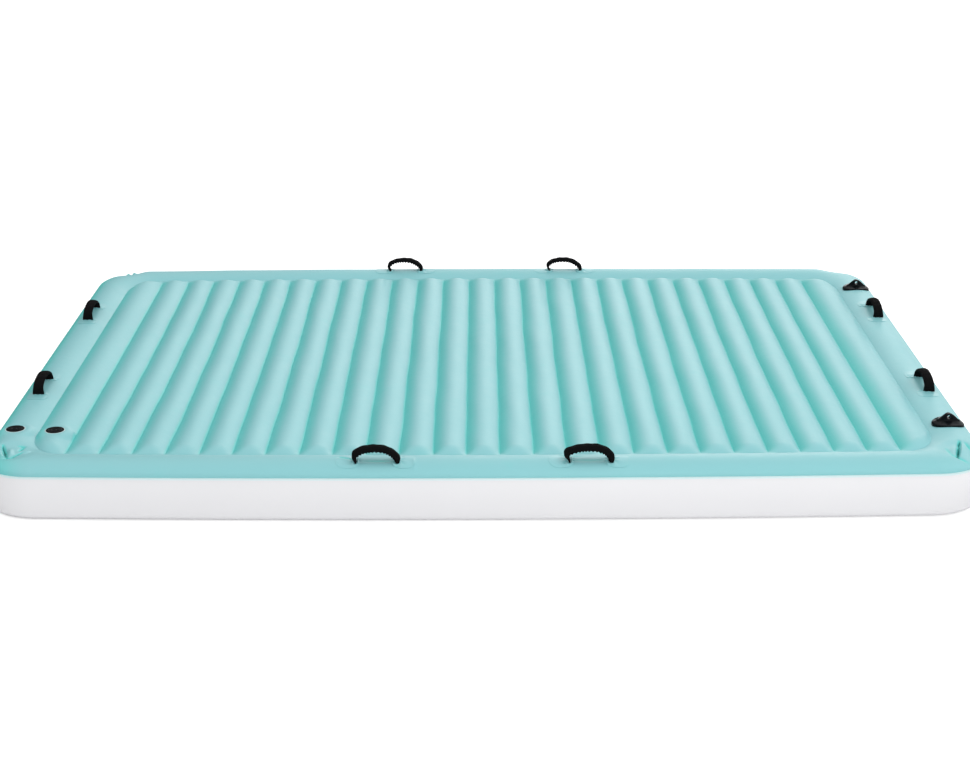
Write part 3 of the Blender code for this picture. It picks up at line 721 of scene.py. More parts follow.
def face_outwards(mesh, merge=0.0):
    """Turns a closed mesh's faces outwards, and first joins points that lie together."""
    work = bmesh.new()
    work.from_mesh(mesh)
    if merge:
        bmesh.ops.remove_doubles(work, verts=work.verts, dist=merge)
    bmesh.ops.recalc_face_normals(work, faces=work.faces)
    work.to_mesh(mesh)
    work.free()


def count_faces(target):
    return sum(len(face.vertices) - 2 for face in target.data.polygons)


def film_piece(name, points, wraps, finish, slot, **extras):
    """A film through a grid of points, with its thickness and finish. The slot is not used."""
    made = make_piece(name, film_mesh(name, points, wraps, **extras), finish)
    thicken(made)
    print(name, count_faces(made), "triangles")
    return made

# %% [markdown]
# The rim's upper film rises from the outer seam over a rounded crown and falls to the groove. At
# each corner the film has more length than the air can pull tight. It sinks there into a shallow
# bowl with sharp creases that fan out from its front. Each crease is a line with a width and a
# depth, and ridges stand between them. Moving points in code suits this better than a simulation,
# because each corner has to show its own creases. The feet of the two front handles pull a few
# small creases into the film as well.

# %% Creases at the corners
# Each crease is start x, start y, end x, end y, half width and height, in metres
CORNER_SHIFTS = {
    "front_left": (-0.014, 0.041),
    "front_right": (0.008, 0.034),
    "back_left": (0.0, 0.020),
    "back_right": (0.0, 0.020),
}
CREASE_DEPTH = 1.5
CORNER_TAPER = 0.35
HANDLE_TAPER = 0.3
HANDLE_MARKS = (
    (-0.342, -1.0135, -0.249, -1.0140, 0.0045, -0.0028),
    (-0.412, -0.9886, -0.368, -1.0070, 0.0050, -0.0040),
    (-0.404, -1.0020, -0.372, -1.0180, 0.0060, 0.0025),
    (-0.196, -1.0060, -0.194, -1.0500, 0.0060, 0.0022),
    (0.2116, -0.9830, 0.2823, -0.9876, 0.0045, -0.0024),
    (0.245, -1.0135, 0.352, -1.0140, 0.0045, -0.0020),
)
# Crease depth at which the painted shade in a crease reaches the full deeper colour
PAINTED_SHADE_DEPTH = 0.0032
# Each bowl is middle x, middle y, radius and depth, in metres
CORNER_BOWLS = {
    "front_left": (-1.333, -0.955, 0.060, 0.0085),
    "front_right": (1.352, -0.968, 0.056, 0.0070),
    "back_left": (-1.348, 0.982, 0.056, 0.0065),
    "back_right": (1.358, 0.990, 0.058, 0.0065),
}
CORNER_CREASES = {
    "front_left": (
        (-1.374, -0.910, -1.343, -1.001, 0.0036, -0.0080),
        (-1.328, -1.002, -1.309, -0.959, 0.0036, -0.0080),
        (-1.309, -0.959, -1.296, -0.944, 0.0034, -0.0050),
        (-1.329, -0.910, -1.312, -0.907, 0.0045, -0.0030),
        (-1.314, -0.910, -1.320, -0.947, 0.0040, -0.0040),
        (-1.346, -0.941, -1.333, -0.998, 0.0070, 0.0050),
        (-1.302, -0.972, -1.286, -0.945, 0.0060, 0.0035),
        (-1.382, -0.950, -1.351, -1.001, 0.0060, 0.0040),
        (-1.352, -1.005, -1.318, -1.005, 0.0050, -0.0030),
    ),
    "front_right": (
        (1.369, -0.905, 1.360, -0.939, 0.0036, -0.0075),
        (1.360, -0.939, 1.339, -1.012, 0.0038, -0.0105),
        (1.374, -0.930, 1.352, -1.012, 0.0080, 0.0045),
        (1.320, -0.956, 1.325, -1.007, 0.0050, -0.0020),
        (1.325, -1.007, 1.362, -1.030, 0.0060, -0.0030),
        (1.346, -0.940, 1.334, -0.995, 0.0080, 0.0025),
        (1.384, -0.915, 1.392, -0.955, 0.0050, -0.0030),
    ),
    "back_left": (
        (-1.316, 1.016, -1.309, 0.967, 0.0045, -0.0060),
        (-1.373, 0.955, -1.313, 0.946, 0.0060, -0.0040),
        (-1.358, 0.995, -1.348, 0.962, 0.0065, 0.0045),
        (-1.337, 1.019, -1.324, 0.949, 0.0065, 0.0045),
        (-1.347, 1.010, -1.336, 0.960, 0.0040, -0.0035),
        (-1.378, 1.000, -1.366, 0.962, 0.0045, -0.0035),
    ),
    "back_right": (
        (1.331, 1.045, 1.331, 0.965, 0.0045, -0.0040),
        (1.352, 1.038, 1.342, 0.950, 0.0045, -0.0045),
        (1.383, 1.059, 1.369, 0.993, 0.0045, -0.0060),
        (1.342, 1.030, 1.336, 0.960, 0.0060, 0.0035),
        (1.366, 1.040, 1.356, 0.965, 0.0075, 0.0045),
        (1.342, 0.952, 1.376, 0.963, 0.0055, -0.0030),
    ),
}


def hill(distance, width):
    """1 in the middle of a ridge or crease, and nearly 0 at twice its half width."""
    return np.exp(-((distance / width) ** 2))


def crease(places, line, end_share):
    """A crease or ridge along a line: full in its middle, and less at its ends and beside it."""
    x1, y1, x2, y2, width, height = line
    start = np.array((x1, y1))
    along = np.array((x2, y2)) - start
    share = np.clip((places - start) @ along / (along @ along), 0.0, 1.0)
    gap = np.linalg.norm(places - (start + share[..., None] * along), axis=-1)
    taper = end_share + (1 - end_share) * np.sin(math.pi * share)
    return height * taper * hill(gap, width)


def corner_relief(places):
    """How far the bowls and the creases move the rim's upper film at each place of its plan."""
    bowls = np.zeros(places.shape[:-1])
    creases = np.zeros(places.shape[:-1])
    for corner, (x, y, radius, depth) in CORNER_BOWLS.items():
        shifted = places - np.array(CORNER_SHIFTS[corner])
        away = np.linalg.norm(shifted - np.array((x, y)), axis=-1) / radius
        bowls -= depth * np.exp(-(away ** 4))
        for line in CORNER_CREASES[corner]:
            creases += CREASE_DEPTH * crease(shifted, line, CORNER_TAPER)
    return bowls, creases


def handle_marks(places):
    """Shallow creases that the front handles' feet pull into the film."""
    return sum(crease(places, line, HANDLE_TAPER) for line in HANDLE_MARKS)


print("creases", sum(len(lines) for lines in CORNER_CREASES.values()) + len(HANDLE_MARKS))

# %% The rim's upper film
RIM_ROWS = 48
VALVE_FLAT = 0.033
VALVE_BLEND = 0.030
VALVE_DIP = 0.0004
CORE_CROWN = 0.174
# Painted shade on the left rim's outer flank: the share of the rim that it covers, and its strength
PAINTED_SHADE_OUTER_REACH = 0.45
OUTER_PAINTED_SHADE = 1.25
WAVE_HEIGHT = 0.0012
RIM_WAVES = (0.31, 0.47, 0.83)
RIM_SEED = 3


def rim_section(steps):
    """Share across the rim from the seam, and height, from the seam over the crown to the groove."""
    angles = np.linspace(0, math.pi / 2, steps // 2 + 1)
    outer = np.stack((0.5 * (1 - np.cos(angles)), TOP_SEAM + (HEIGHT - TOP_SEAM) * np.sin(angles)), 1)
    fall = np.linspace(0, 1, steps // 2 + 1)[1:]
    inner = np.stack((0.5 + 0.5 * fall, HEIGHT - (HEIGHT - GROOVE_HEIGHT) * fall**2), 1)
    return np.concatenate((outer, inner))


def across(outer, inner, section):
    """A grid of points: one row for each share and height of the section."""
    return np.array([at_height(outer + (inner - outer) * share, height) for share, height in section])


def smooth_share(share):
    """Rises from 0 to 1 with a level start and a level end."""
    share = np.clip(share, 0, 1)
    return share * share * (3 - 2 * share)


def flatten_at_valve(points, valve, crown):
    """Levels the film round a valve, because the stiff collar holds it flat there."""
    away = np.linalg.norm(points[..., :2] - np.array(VALVE_AT[valve]), axis=-1)
    share = smooth_share((away - VALVE_FLAT) / VALVE_BLEND)
    points[..., 2] = crown + (points[..., 2] - crown) * share
    return points


def slow_waves(places, seed, height, lengths):
    """Gentle unevenness from a few sine waves with fixed random directions."""
    source = np.random.default_rng(seed)
    total = np.zeros(places.shape[:-1])
    for length in lengths:
        angle, phase = source.uniform(0, 2 * math.pi, 2)
        total += np.sin(2 * math.pi / length * (places @ (math.cos(angle), math.sin(angle))) + phase)
    return height * total / len(lengths)


def rim_waves(places):
    return slow_waves(places, RIM_SEED, WAVE_HEIGHT, RIM_WAVES)


rim_points = across(SEAM, GROOVE, rim_section(RIM_ROWS))
crown_share = np.sin(np.linspace(0, math.pi, len(rim_points)))[:, None]
rim_points[..., 2] += crown_share * rim_waves(rim_points[..., :2])
rim_bowls, rim_creases = corner_relief(rim_points[..., :2])
rim_creases += handle_marks(rim_points[..., :2])
rim_points[..., 2] += rim_bowls + rim_creases
rim_points = flatten_at_valve(rim_points, "rim", HEIGHT - VALVE_DIP)
# Painted shade: the colour deepens in the creases and handle marks, and on the left rim's outer flank
rim_painted_lightness = np.clip(1 + rim_creases / PAINTED_SHADE_DEPTH, -1, 1)
shaded_outer_flank = 1 - smooth_share(rim_section(RIM_ROWS)[:, :1] / PAINTED_SHADE_OUTER_REACH)
painted_shade_at_left = smooth_share((-SEAM[:, 0] - CORNER_X) / SEAM_RADIUS)
rim_painted_lightness = np.minimum(rim_painted_lightness, 1 - OUTER_PAINTED_SHADE * shaded_outer_flank * painted_shade_at_left)
rim_upper = film_piece(
    "rim_upper_film", rim_points, True, TEAL_FILM, "teal_vinyl",
    stretch=rim_painted_lightness, hole=VALVE_AT["rim"],
)

# %% [markdown]
# The core is a row of 27 air ribs. Upright webs hold the two films together along the valleys, so
# each rib swells into an arch between two of them, and its ends round down to the groove. The two
# outermost ribs follow the core's rounded corners. The valleys aren't perfectly straight on a real
# mat, so they wander by a millimetre or two.

# %% The core's upper film
RIBS = 27
RIB_SPANS = 14
END_RIB_SPANS = 28
RIB_PITCH = 2 * GROOVE_X / (RIBS - 2)
VALLEY_RISE = -0.006
RIB_RISE = 0.021
END_ROUND = 0.055
END_ROWS = 14
ROW_STEP = 0.030
FINE_ROW_STEP = 0.0045
# The bow term of the ribs reaches zero this far from the middle
CORE_REACH = 0.93
# Painted shade on each rib's left flank: its strength, and the share of the rib that it covers
FLANK_PAINTED_SHADE = 0.95
PAINTED_SHADE_FLANK_REACH = 0.45
FINE_ROWS = (0.700, 0.815)
INSIDE_MARGIN = 0.02
INSIDE_BLEND = 0.1
BOW_PLACES = (-1.2, -0.4, 0.4, 1.2)
BOW_SHIFTS = (0.009, 0.0, 0.0, -0.005)
VALLEY_WAVES = (0.23, 0.41, 0.57, 0.9)
VALLEY_SQUEEZE = 3.0
ARCH_WAVES = (0.35, 0.5, 0.8)
UPPER_WANDER = 0.0022
UPPER_SEED = 11


def core_columns():
    """Place along the core, reach, valley share, arch share and part of a rib for each column."""
    angles = np.linspace(0, math.pi / 2, END_RIB_SPANS + 1)[:-1]
    share = 1 - np.cos(angles)
    x_end = GROOVE_X + GROOVE_RADIUS * np.cos(angles)
    reach_end = GROOVE_Y + GROOVE_RADIUS_Y * np.sin(angles)
    steps = np.arange((RIBS - 2) * RIB_SPANS + 1) / RIB_SPANS
    x_middle = RIB_PITCH * steps - GROOVE_X
    reach_middle = GROOVE_Y + GROOVE_RADIUS_Y + side_bow(x_middle / GROOVE_X)
    part = np.concatenate((share, steps - np.floor(steps), 1 - share[::-1]))
    return (
        np.concatenate((-x_end, x_middle, x_end[::-1])),
        np.concatenate((reach_end, reach_middle, reach_end[::-1])),
        np.concatenate((share, np.ones(len(steps)), share[::-1])),
        4 * part * (1 - part),
        part,
    )


def core_points(wander, seed):
    """The core's points, and the film's painted lightness at each: painted shade on the ribs' left
    flanks.
    """
    x, reach, valley, arch, part = core_columns()
    rounds = END_ROUND * np.linspace(0, 1, END_ROWS)
    inner = reach - END_ROUND
    inner_half = GROOVE_Y + GROOVE_RADIUS_Y - END_ROUND
    even = np.linspace(-1, 1, int(2 * inner_half / ROW_STEP) + 1)[1:-1]
    fine = np.arange(*FINE_ROWS, FINE_ROW_STEP) / inner_half
    shares = np.sort(np.concatenate((even[(even < -fine[-1]) | (even > -fine[0])], -fine)))
    lifts = 1 - (1 - rounds / END_ROUND) ** 2
    front = [offset - reach for offset in rounds]
    middle = [inner * share for share in shares]
    back = [reach - offset for offset in rounds[::-1]]
    y = np.array(front + middle + back)
    lift = np.concatenate((lifts, np.ones(len(shares)), lifts[::-1]))[:, None]
    z = GROOVE_HEIGHT + lift * (valley * VALLEY_RISE + arch * RIB_RISE)
    x = np.broadcast_to(x, y.shape).copy()
    points = np.stack((x, y, z), -1)
    inside = np.clip((GROOVE_X + INSIDE_MARGIN - np.abs(x)) / INSIDE_BLEND, 0, 1) * lift
    squeezed = np.stack((x * VALLEY_SQUEEZE, y), -1)
    points[..., 0] += wander * inside * slow_waves(squeezed, seed, 1.0, VALLEY_WAVES)
    bow = np.interp(x, BOW_PLACES, BOW_SHIFTS)
    points[..., 0] += inside * bow * (1 - (y / CORE_REACH) ** 2)
    points[..., 2] += lift * arch * slow_waves(points[..., :2], seed + 1, WAVE_HEIGHT, ARCH_WAVES)
    return points, 1 - FLANK_PAINTED_SHADE * lift * (1 - smooth_share(part / PAINTED_SHADE_FLANK_REACH))


upper_points, core_painted_lightness = core_points(UPPER_WANDER, UPPER_SEED)
upper_points = flatten_at_valve(upper_points, "core", CORE_CROWN - VALVE_DIP)
core_upper = film_piece(
    "core_upper_film", upper_points, False, TEAL_FILM, "teal_vinyl",
    stretch=core_painted_lightness, hole=VALVE_AT["core"],
)

# %% [markdown]
# The underside is the same film in white: ribs that mirror the upper ones, and a rim whose flat
# strip is what the mat rests on.

# %% The lower films
LOWER_WANDER = 0.0016
LOWER_SEED = 23
LOWER_ARC_STEPS = 9
REST_SHARE = 0.3
REST_STEPS = 8
LOWER_GROOVE = 0.018


def lower_section():
    """Share across the rim from the seam, and height, from the groove out to the lower seam."""
    angles = np.linspace(0, math.pi / 2, LOWER_ARC_STEPS + 1)
    inner = np.stack((1 - REST_SHARE * (1 - np.cos(angles)), LOWER_GROOVE * (1 - np.sin(angles))), 1)
    rest = np.linspace(1 - REST_SHARE, REST_SHARE, REST_STEPS + 1)[1:-1]
    flat = np.stack((rest, np.zeros(len(rest))), 1)
    back = angles[::-1]
    outer = np.stack((REST_SHARE * (1 - np.cos(back)), LOW_SEAM * (1 - np.sin(back))), 1)
    return np.concatenate((inner, flat, outer))


lower_points, _ = core_points(LOWER_WANDER, LOWER_SEED)
lower_points[..., 2] = np.maximum(HEIGHT - lower_points[..., 2], 0)
core_lower = film_piece("core_lower_film", lower_points, False, WHITE_FILM, "white_vinyl", flip=True)
rim_lower_points = across(SEAM, GROOVE, lower_section())
rim_lower = film_piece("rim_lower_film", rim_lower_points, True, WHITE_FILM, "white_vinyl")

# %% [markdown]
# The side band is one white strip round the mat. Air pushes its middle out by 6 mm. It is welded
# to the films above and below in a lip, where the two sheets lie flat against each other and the
# weld shows as a paler line.

# %% Side band and weld lips
BAND_ROWS = 22
BAND_BULGE = 0.006
BAND_TOP = TOP_SEAM - 0.0003
UPPER_LIP_HEIGHT = TOP_SEAM - 0.0004
LIP_ROOT = 0.0008
LIP_REACH = 0.0045
LIP_THICKNESS = 0.0014
LOWER_LIP_REACH = 0.0010
LOWER_LIP_THICKNESS = 0.0008
LIP_MERGE = 0.00001


def band_points():
    rows = []
    for share in np.linspace(0, 1, BAND_ROWS + 1):
        bulge = BAND_BULGE * (1 - (2 * share - 1) ** 2)
        rows.append(at_height(seam_line(-bulge), LOW_SEAM + (BAND_TOP - LOW_SEAM) * share))
    return np.array(rows)


def lip_ring(name, height, reach, thickness, finish):
    """A thin welded lip that stands out from a seam, rounded at its edge."""
    upper = ((-LIP_ROOT, thickness / 2), (reach * 0.75, thickness / 2), (reach, thickness * 0.2))
    section = upper + tuple((out, -rise) for out, rise in upper[::-1])
    rows = [at_height(seam_line(-out), height + rise) for out, rise in section + section[:1]]
    mesh = film_mesh(name, np.array(rows), True, flip=True)
    made = make_piece(name, mesh, finish)
    face_outwards(mesh, LIP_MERGE)
    smooth_edges(made, 50)
    print(name, count_faces(made), "triangles")
    return made


side_points = band_points()
side_band = film_piece("side_band_film", side_points, True, WHITE_BAND, "white_vinyl")
upper_lip = lip_ring(
    "upper_weld_lip", UPPER_LIP_HEIGHT, LIP_REACH, LIP_THICKNESS, PALE_WELD
)
lower_lip = lip_ring(
    "lower_weld_lip", LOW_SEAM, LOWER_LIP_REACH, LOWER_LIP_THICKNESS, WHITE_FILM
)

# %% [markdown]
# Between the rim's air and the core's air stands a wall of the same film. It hides inside the mat
# and runs under the groove, from the lower films to the upper ones.

# %% The wall between the chambers
WALL_INSET = 0.0020
WALL_END = 0.0012
WALL_ROWS = 5
wall_line = plan_line(GROOVE_X, GROOVE_Y, GROOVE_RADIUS - WALL_INSET, GROOVE_RADIUS_Y - WALL_INSET)
wall_heights = np.linspace(LOWER_GROOVE + WALL_END, GROOVE_HEIGHT - WALL_END, WALL_ROWS)
wall_points = np.array([at_height(wall_line, height) for height in wall_heights])
chamber_wall = film_piece("chamber_wall_film", wall_points, True, WHITE_FILM, "white_vinyl")

# %% [markdown]
# Every fitting on the rim has to follow its rounded back. This helper gives the rim's height at
# any place along its straight sides, from the same section as the film.

# %% Height of the rim
def rim_height(places):
    """Height of the rim's upper film at places of its plan, away from the corners."""
    x, y = np.abs(places[..., 0]), np.abs(places[..., 1])
    outer_y = CORNER_Y + SEAM_RADIUS + side_bow(x / CORNER_X)
    inner_y = GROOVE_Y + GROOVE_RADIUS_Y + side_bow(x / GROOVE_X)
    outer_x = CORNER_X + SEAM_RADIUS
    inner_x = GROOVE_X + GROOVE_RADIUS
    at_end = x > inner_x
    share = np.where(at_end, (outer_x - x) / (outer_x - inner_x), (outer_y - y) / (outer_y - inner_y))
    share = np.clip(share, 0, 1)
    cosine = 1 - np.minimum(share, 0.5) / 0.5
    rise = TOP_SEAM + (HEIGHT - TOP_SEAM) * np.sqrt(1 - cosine**2)
    drop = (HEIGHT - GROOVE_HEIGHT) * (np.maximum(share, 0.5) / 0.5 - 1) ** 2
    return rise - drop + np.sin(math.pi * share) * rim_waves(places)

# %% [markdown]
# Each handle's foot is welded to the rim with a teal patch, a rounded rectangle of the same film.
# The press leaves a sunken line near its edge and a raised lip round the slit that the webbing
# comes through, and small folds run out from there. It is made of rings of points from its edge
# to its middle, laid on the rim, and then given its thickness.

# %% Shape of a welded patch
PATCH_SIZE = (0.072, 0.064)
PATCH_CORNER = 0.026
PATCH_FILM = 0.0008
PATCH_CLEAR = 0.0003
PATCH_RINGS = 26
PATCH_SIDE_STEPS = 14
CORNER_ARC = 12
PATH_SCALE = {"front": 1.0, "back": 1.0, "left": 1.15, "right": 1.15}
NEAR_FOOT = 0.0560
FAR_FOOT = 0.0600
SLIT_HALF_WIDTH = 0.0175
SLIT_HALF_THICK = {1: 0.0035, 2: 0.0070}
BORDER_AT, BORDER_WIDTH, BORDER_DEPTH = 0.0050, 0.0013, 0.0004
SLIT_LIP_AT, SLIT_LIP_WIDTH, SLIT_LIP_HEIGHT = 0.0022, 0.0018, 0.0020
FOLDS, FOLD_PHASE, FOLD_HEIGHT = 7, 1.3, 0.0016
FOLD_REACH, FOLD_START = 0.014, 0.004


def patch_outline():
    """A rounded rectangle of points, anticlockwise from its right side's back corner."""
    half_x, half_y = PATCH_SIZE[0] / 2 - PATCH_CORNER, PATCH_SIZE[1] / 2 - PATCH_CORNER
    rounds = []
    for number, (way_x, way_y) in enumerate(CORNER_WAYS):
        angles = math.pi / 2 * (number + np.arange(CORNER_ARC + 1) / CORNER_ARC)
        x = way_x * half_x + PATCH_CORNER * np.cos(angles)
        y = way_y * half_y + PATCH_CORNER * np.sin(angles)
        rounds.append(np.stack((x, y), 1))
    points = []
    shares = np.arange(1, PATCH_SIDE_STEPS)[:, None] / PATCH_SIDE_STEPS
    for here, after in zip(rounds, rounds[1:] + rounds[:1]):
        points += [here, here[-1] + (after[0] - here[-1]) * shares]
    return np.concatenate(points)


def patch_relief(local, foot_along, number):
    """Raised lip round the foot's slit, a sunken line near the edge and folds from the foot."""
    half_x, half_y = PATCH_SIZE[0] / 2, PATCH_SIZE[1] / 2
    from_edge = np.minimum(half_x - np.abs(local[..., 0]), half_y - np.abs(local[..., 1]))
    border = -BORDER_DEPTH * hill(from_edge - BORDER_AT, BORDER_WIDTH)
    slit_x = np.maximum(np.abs(local[..., 0] - foot_along) - SLIT_HALF_THICK[number], 0)
    slit_y = np.maximum(np.abs(local[..., 1]) - SLIT_HALF_WIDTH, 0)
    away = np.hypot(slit_x, slit_y)
    lip = SLIT_LIP_HEIGHT * hill(away - SLIT_LIP_AT, SLIT_LIP_WIDTH)
    angle = np.arctan2(local[..., 1], local[..., 0] - foot_along)
    fade = hill(away, FOLD_REACH) * (1 - hill(away, FOLD_START))
    return border + lip + FOLD_HEIGHT * np.sin(FOLDS * angle + FOLD_PHASE + number) * fade


def build_patch(name, centre, along_x, foot_along, number):
    scales = np.linspace(1, 0, PATCH_RINGS + 1)[:-1]
    local = patch_outline()[None] * scales[:, None, None]
    relief = patch_relief(local, foot_along, number)
    turned = local if along_x else np.stack((-local[..., 1], local[..., 0]), -1)
    places = turned + np.array(centre)
    marks = handle_marks(places)
    heights = rim_height(places) + PATCH_CLEAR + relief + marks
    rings = np.concatenate((places, heights[..., None]), -1)
    rows, columns, _ = rings.shape
    middle = np.array((*centre, rim_height(np.array(centre)) + PATCH_CLEAR))
    points = np.concatenate((rings.reshape(-1, 3), middle[None]))
    faces = grid_faces(rows, columns, True)
    last = (rows - 1) * columns
    for i in range(columns):
        faces.append((last + i, last + (i + 1) % columns, len(points) - 1))
    mesh = bpy.data.meshes.new(name)
    mesh.from_pydata(points.tolist(), [], faces)
    # Painted shade: the colour deepens in the handle marks, the sunken line and the troughs of the
    # folds
    deeper_tone = np.clip(1 + (marks + 0.5 * relief) / PAINTED_SHADE_DEPTH, -1, 1)
    store_stretch(mesh, np.append(deeper_tone, 1.0))
    return thicken(make_piece(name, mesh, TEAL_PATCH), PATCH_FILM, 1.0, 50)


# %% The sixteen patches
HANDLE_SIDES = ("front_left", "front_right", "back_left", "back_right",
                "left_front", "left_back", "right_front", "right_back")


def box_middle(node):
    low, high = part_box(node)
    return (low + high) / 2


patches = []
for place in HANDLE_SIDES:
    side = place.split("_")[0]
    axis = 0 if side in ("front", "back") else 1
    for number, reach in ((1, -NEAR_FOOT), (2, FAR_FOOT)):
        node = f"patch_{place}_{number}"
        middle = box_middle(node)
        foot = box_middle("handle_" + place)[axis] + reach * PATH_SCALE[side]
        patch = build_patch(
            "welded_" + node, (middle.x, middle.y), axis == 0, foot - middle[axis], number
        )
        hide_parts(node)
        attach(patch, ROOT)
        patches.append(patch)
print("patches", len(patches), "of", count_faces(patch), "triangles")

# %% [markdown]
# A handle is a strip of webbing folded round a soft foam core and stitched along both edges. It
# bends into an arch, so its inner face bunches up in small ripples while the outer one stays
# smooth. At the near foot the foam ends and the webbing widens. The far foot keeps part of its
# foam. One smooth path carries a pillow-shaped section, and each handle leans and twists its own
# way, by amounts drawn at random from a fixed seed.

# %% Path and section of a handle
GRIP_HALF_WIDTH = 0.0155
FOOT_HALF_WIDTH = 0.0178
GRIP_HALF_THICK = {"front": 0.0096, "back": 0.0076, "left": 0.0066, "right": 0.0062}
FOOT_HALF_THICK = 0.0026
GRIP_POWER = 3.0
PATH_STEPS = 130
SECTION_POINTS = 36
# Each path is distance along the foot's line and height, in metres
HANDLE_PATH = (
    (-0.0555, 0.0000), (-0.0600, 0.0065), (-0.0622, 0.0145), (-0.0570, 0.0250), (-0.0430, 0.0335),
    (-0.0230, 0.0385), (-0.0020, 0.0397), (0.0210, 0.0372), (0.0400, 0.0290), (0.0540, 0.0185),
    (0.0605, 0.0085), (0.0600, 0.0000),
)
SIDE_PATH = (
    (-0.0645, 0.0000), (-0.0655, 0.0080), (-0.0640, 0.0170), (-0.0575, 0.0255), (-0.0430, 0.0325),
    (-0.0230, 0.0370), (-0.0020, 0.0385), (0.0210, 0.0362), (0.0400, 0.0285), (0.0530, 0.0185),
    (0.0590, 0.0085), (0.0590, 0.0000),
)
KINKED_PATH = (
    (-0.0560, 0.0000), (-0.0590, 0.0070), (-0.0645, 0.0190), (-0.0620, 0.0275), (-0.0450, 0.0345),
    (-0.0240, 0.0392), (-0.0020, 0.0402), (0.0210, 0.0390), (0.0420, 0.0315), (0.0570, 0.0200),
    (0.0620, 0.0090), (0.0610, 0.0000),
)


def smooth_path(points, steps):
    """Evenly spaced points on a smooth curve through the given ones."""
    points = np.array(points)
    padded = np.vstack((2 * points[0] - points[1], points, 2 * points[-1] - points[-2]))
    dense = []
    for i in range(len(points) - 1):
        p0, p1, p2, p3 = padded[i : i + 4]
        for t in np.linspace(0, 1, 24, endpoint=False):
            dense.append(0.5 * (
                2 * p1 + (p2 - p0) * t + (2 * p0 - 5 * p1 + 4 * p2 - p3) * t**2
                + (3 * p1 - p0 - 3 * p2 + p3) * t**3
            ))
    dense.append(points[-1])
    dense = np.array(dense)
    length = np.concatenate(([0], np.cumsum(np.linalg.norm(np.diff(dense, axis=0), axis=1))))
    even = np.linspace(0, length[-1], steps)
    return np.stack([np.interp(even, length, dense[:, k]) for k in range(2)], 1), even


HANDLE_SEED = 41
NEAR_FLAT, NEAR_BLEND = 0.004, 0.024
FAR_SHARE, FAR_BLEND = 0.55, 0.016
LEAN_LIMIT = 0.0020
TWIST_LIMIT = 5
BUNCH_PITCH, BUNCH_DEPTH = 0.0105, 0.0026
SOFT_PITCH, SOFT_DEPTH = 0.027, 0.0005
HEM_AT, HEM_WIDTH, HEM_DEPTH = 0.80, 0.06, 0.22


def grip_share(length, even):
    """1 along the padded grip, 0 where the near foot is flat webbing; the far foot stays thick."""
    near = smooth_share((even - NEAR_FLAT) / NEAR_BLEND)
    far = FAR_SHARE + (1 - FAR_SHARE) * smooth_share((length - even) / FAR_BLEND)
    return np.minimum(near, far)


def pillow(turn):
    """A rounded square's edge in place of a circle's, from a sine or a cosine."""
    return np.sign(turn) * np.abs(turn) ** (2 / GRIP_POWER)


def handle_points(place, number):
    source = np.random.default_rng(HANDLE_SEED + number)
    side_name = place.split("_")[0]
    scale = PATH_SCALE[side_name]
    line = SIDE_PATH if scale > 1 else HANDLE_PATH
    path, even = smooth_path(KINKED_PATH if place == "front_right" else line, PATH_STEPS)
    path[:, 0] *= scale
    even = even * scale
    length = even[-1]
    grip = grip_share(length, even)
    lean = source.uniform(-LEAN_LIMIT, LEAN_LIMIT)
    twist = math.radians(source.uniform(-TWIST_LIMIT, TWIST_LIMIT))
    path[:, 0] += lean * np.sin(math.pi * even / length)
    slope = np.gradient(path, axis=0)
    slope /= np.linalg.norm(slope, axis=1)[:, None]
    half_wide = FOOT_HALF_WIDTH + (GRIP_HALF_WIDTH - FOOT_HALF_WIDTH) * grip
    half_thick = FOOT_HALF_THICK + (GRIP_HALF_THICK[side_name] - FOOT_HALF_THICK) * grip
    angles = 2 * math.pi * np.arange(SECTION_POINTS) / SECTION_POINTS
    side = pillow(np.cos(angles))
    lift = pillow(np.sin(angles))
    phase = source.uniform(0, 2 * math.pi)
    waves = np.sin(2 * math.pi * even / BUNCH_PITCH + phase + 1.2 * np.sin(even * 90 + phase))
    inner = (lift < 0) * np.abs(lift) * (0.7 + 0.3 * np.cos(3 * side))
    bunch = BUNCH_DEPTH * (grip * waves)[:, None] * inner[None, :]
    rolling = np.sin(even[:, None] * 2 * math.pi / SOFT_PITCH + 2 * side[None, :] + phase)
    soft = SOFT_DEPTH * grip[:, None] * (lift > 0)[None, :] * rolling
    hem = 1 - HEM_DEPTH * hill(np.abs(side) - HEM_AT, HEM_WIDTH)
    out = half_thick[:, None] * (lift * hem)[None, :] + np.where(lift < 0, bunch, soft)
    wide = half_wide[:, None] * side[None, :]
    turn = twist * np.sin(2 * math.pi * even / length)[:, None]
    wide, out = wide * np.cos(turn) - out * np.sin(turn), wide * np.sin(turn) + out * np.cos(turn)
    along = path[:, 0][:, None] - slope[:, 1][:, None] * out
    height = path[:, 1][:, None] + slope[:, 0][:, None] * out
    return np.stack((along, wide, height), -1), even

# %% The eight handles
def handle_mesh(name, points, even):
    """A closed tube with flat ends, and a UV map in metres along and across the webbing."""
    rows, columns, _ = points.shape
    faces = grid_faces(rows, columns, True)
    faces.append(tuple(range(columns))[::-1])
    faces.append(tuple(range((rows - 1) * columns, rows * columns)))
    mesh = bpy.data.meshes.new(name)
    mesh.from_pydata(points.reshape(-1, 3).tolist(), [], faces)
    layer = mesh.uv_layers.new(name="UVMap")
    girth = 4 * (GRIP_HALF_WIDTH + GRIP_HALF_THICK["front"]) / columns
    for face in mesh.polygons:
        low = min(mesh.loops[i].vertex_index % columns for i in face.loop_indices)
        for i in face.loop_indices:
            row, column = divmod(mesh.loops[i].vertex_index, columns)
            if low == 0 and column == columns - 1:
                column = -1
            layer.data[i].uv = (even[row], column * girth)
    face_outwards(mesh)
    return mesh


